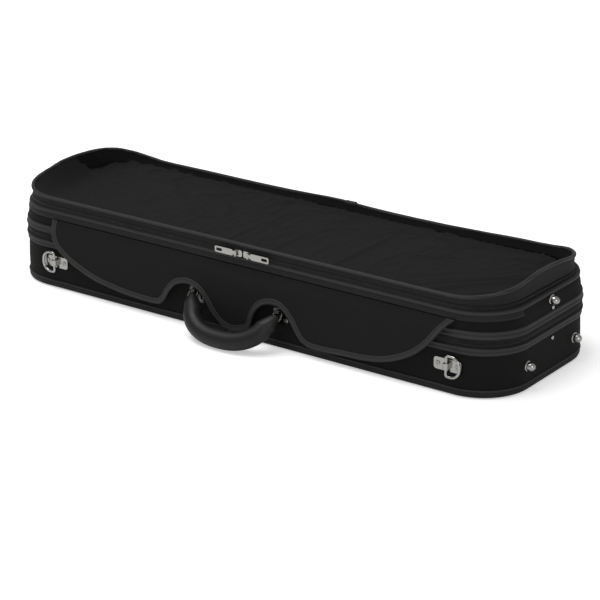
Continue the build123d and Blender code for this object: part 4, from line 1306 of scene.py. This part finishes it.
# %% The canvas spine over the hinge
spine_low, spine_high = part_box("hinge_spine")
hinge_z = (spine_low.z + spine_high.z) / 2
hinge_y = spine_low.y
spine = grid("hinge_spine_canvas", 75, 14)
for vertex in spine.data.vertices:
    u, v = vertex.co.x, vertex.co.y
    bulge = math.cos(v * math.pi / 2)
    wave = 0.35 * mm * noise.noise(Vector((u * 9, v, 1.0)))
    x = u * spine_high.x
    vertex.co = (x, half_y + 1.4 * mm + 6.0 * mm * bulge + wave, hinge_z + v * 11.5 * mm)
lay_flat(spine, 0, 2)
tidy_mesh(spine, turn=False)
finish_with(spine, "SOLIDIFY", thickness=0.9 * mm, offset=0)
sit(spine, None, side_canvas, "canvas", "hinge_spine")
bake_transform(spine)

# %% The lid's stays
open_angle = math.radians(105)
stay_half = 9 * mm
for side in ("left", "right"):
    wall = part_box(f"lid_stay_{side}")
    x = (wall[0].x + wall[1].x) / 2
    low_rivet = Vector((1.0 * mm - hinge_y, 51 * mm - hinge_z))
    high_rivet = Vector((1.0 * mm - hinge_y, 91 * mm - hinge_z))
    turned = Vector((
        high_rivet.x * math.cos(open_angle) + high_rivet.y * math.sin(open_angle),
        high_rivet.y * math.cos(open_angle) - high_rivet.x * math.sin(open_angle),
    ))
    chord = turned - low_rivet
    across = Vector((-chord.y, chord.x)).normalized()
    stay = grid(f"lid_stay_ribbon_{side}", 4, 48)
    for vertex in stay.data.vertices:
        u, v = vertex.co.x, (vertex.co.y + 1) / 2
        height = low_rivet.y + (high_rivet.y - low_rivet.y) * v
        turn = open_angle * v * v * (3 - 2 * v)
        c, s = math.cos(turn), math.sin(turn)
        line = across.dot(low_rivet) + u * stay_half
        depth = (line - across.x * height * s - across.y * height * c) / (
            across.x * c - across.y * s
        )
        vertex.co = (x, hinge_y + depth, hinge_z + height)
    lay_flat(stay, 2, 1)
    finish_with(stay, "SOLIDIFY", thickness=0.8 * mm, offset=0)
    sit(stay, None, ribbon, "ribbon", f"lid_stay_{side}")
    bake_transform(stay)
print("stay", round(chord.length, 3), "m between its rivets with the lid open")

# %% [markdown]
# ## Fittings that keep their construction shape
#
# Metal and plastic parts were drawn to their real shape, so they only need a finish. The table says
# which finish each takes.

# %% Finishes of the hard parts
finishes = (
    # The handle's brackets and rings take the darkened copy of the plating: painted shade.
    (plating_painted_shade, "handle_bracket_left handle_bracket_right handle_ring_left handle_ring_right"),
    (plating, "handle_bracket_screws strap_plate_left strap_plate_right strap_plate_screws"),
    (plating, "strap_ring_left strap_ring_right base_end_studs lid_end_studs"),
    (plating, "base_stay_rivets lid_stay_rivets"),
    (plating, "pocket_slider_left pocket_slider_right pocket_pull_left pocket_pull_right"),
    (enamel, "main_slider_left main_slider_right main_pull_left main_pull_right"),
    (steel, "hinge_base_leaves hinge_lid_leaves hinge_pins bow_spinner_pins"),
    (moulded, "bow_spinner_front bow_spinner_back"),
    (leather, "handle_grip"),
    (board_cloth, "base_shell lid_shell"),
)
for finish, names in finishes:
    for name in names.split():
        wear(frame["nodes"][name], finish)
    print(finish.material.name, len(names.split()))

# %% [markdown]
# ## Camera, light and floor
#
# A long lens from a little above, to the right of the front. The light is a soft box overhead and a
# pale world, at a level where a grey renders about as it is written.


# %% Camera
azimuth, elevation = math.radians(35.65), math.radians(20.06)
back_way = Vector(
    (
        math.sin(azimuth) * math.cos(elevation),
        -math.cos(azimuth) * math.cos(elevation),
        math.sin(elevation),
    )
)
lens = bpy.data.cameras.new("camera")
lens.lens = 143.2
lens.sensor_width = 36
lens.shift_x, lens.shift_y = 0.01125, -0.0664
lens.clip_end = 30
camera = bpy.data.objects.new("camera", lens)
bpy.context.scene.collection.objects.link(camera)
camera.location = Vector((0, 0, 0.070)) + back_way * 3.1798
camera.rotation_euler = back_way.to_track_quat("Z", "Y").to_euler()
bpy.context.scene.camera = camera

# %% Light
world = bpy.data.worlds.new("studio")
world.use_nodes = True
bpy.context.scene.world = world
bpy.context.scene.view_settings.view_transform = "Standard"
surround = world.node_tree.nodes["Background"]
surround.inputs["Color"].default_value = (1, 1, 1, 1)
seen = world.node_tree.nodes.new("ShaderNodeLightPath")
level = world.node_tree.nodes.new("ShaderNodeMath")
level.operation = "MULTIPLY_ADD"
level.inputs[1].default_value = 0.6
level.inputs[2].default_value = 0.4
world.node_tree.links.new(seen.outputs["Is Camera Ray"], level.inputs[0])
world.node_tree.links.new(level.outputs[0], surround.inputs["Strength"])


def soft_box(name, place, aim, size, watts):
    data = bpy.data.lights.new(name, "AREA")
    data.shape = "RECTANGLE"
    data.size, data.size_y = size
    data.energy = watts
    lamp = bpy.data.objects.new(name, data)
    bpy.context.scene.collection.objects.link(lamp)
    lamp.location = place
    lamp.rotation_euler = (Vector(place) - Vector(aim)).to_track_quat("Z", "Y").to_euler()


soft_box("overhead", (-0.5, -0.5, 2.4), (0, 0, 0), (2.2, 1.6), 42)
soft_box("side", (2.4, -1.6, 1.2), (0, 0, 0.05), (1.4, 1.2), 14)

# %% Floor
let_go()
bpy.ops.mesh.primitive_plane_add(size=30, location=(0, 0, -0.3 * mm))
floor = bpy.context.object
floor.name = "floor"
ground = Finish("pale_floor", Roughness=0.9, Specular_IOR_Level=0.1)
ground.paint((0.93, 0.93, 0.93, 1))
straight_on = ground.add("LightPath")
glow = ground.colours(straight_on, (0, 0, 0, 1), (0.42, 0.42, 0.42, 1))
ground.feed(ground.shader, "Emission Color", glow)
ground.shader.inputs["Emission Strength"].default_value = 1.0
wear(floor, ground)
floor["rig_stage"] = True

# %% Measuring the bounds of the dressed case
low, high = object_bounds()
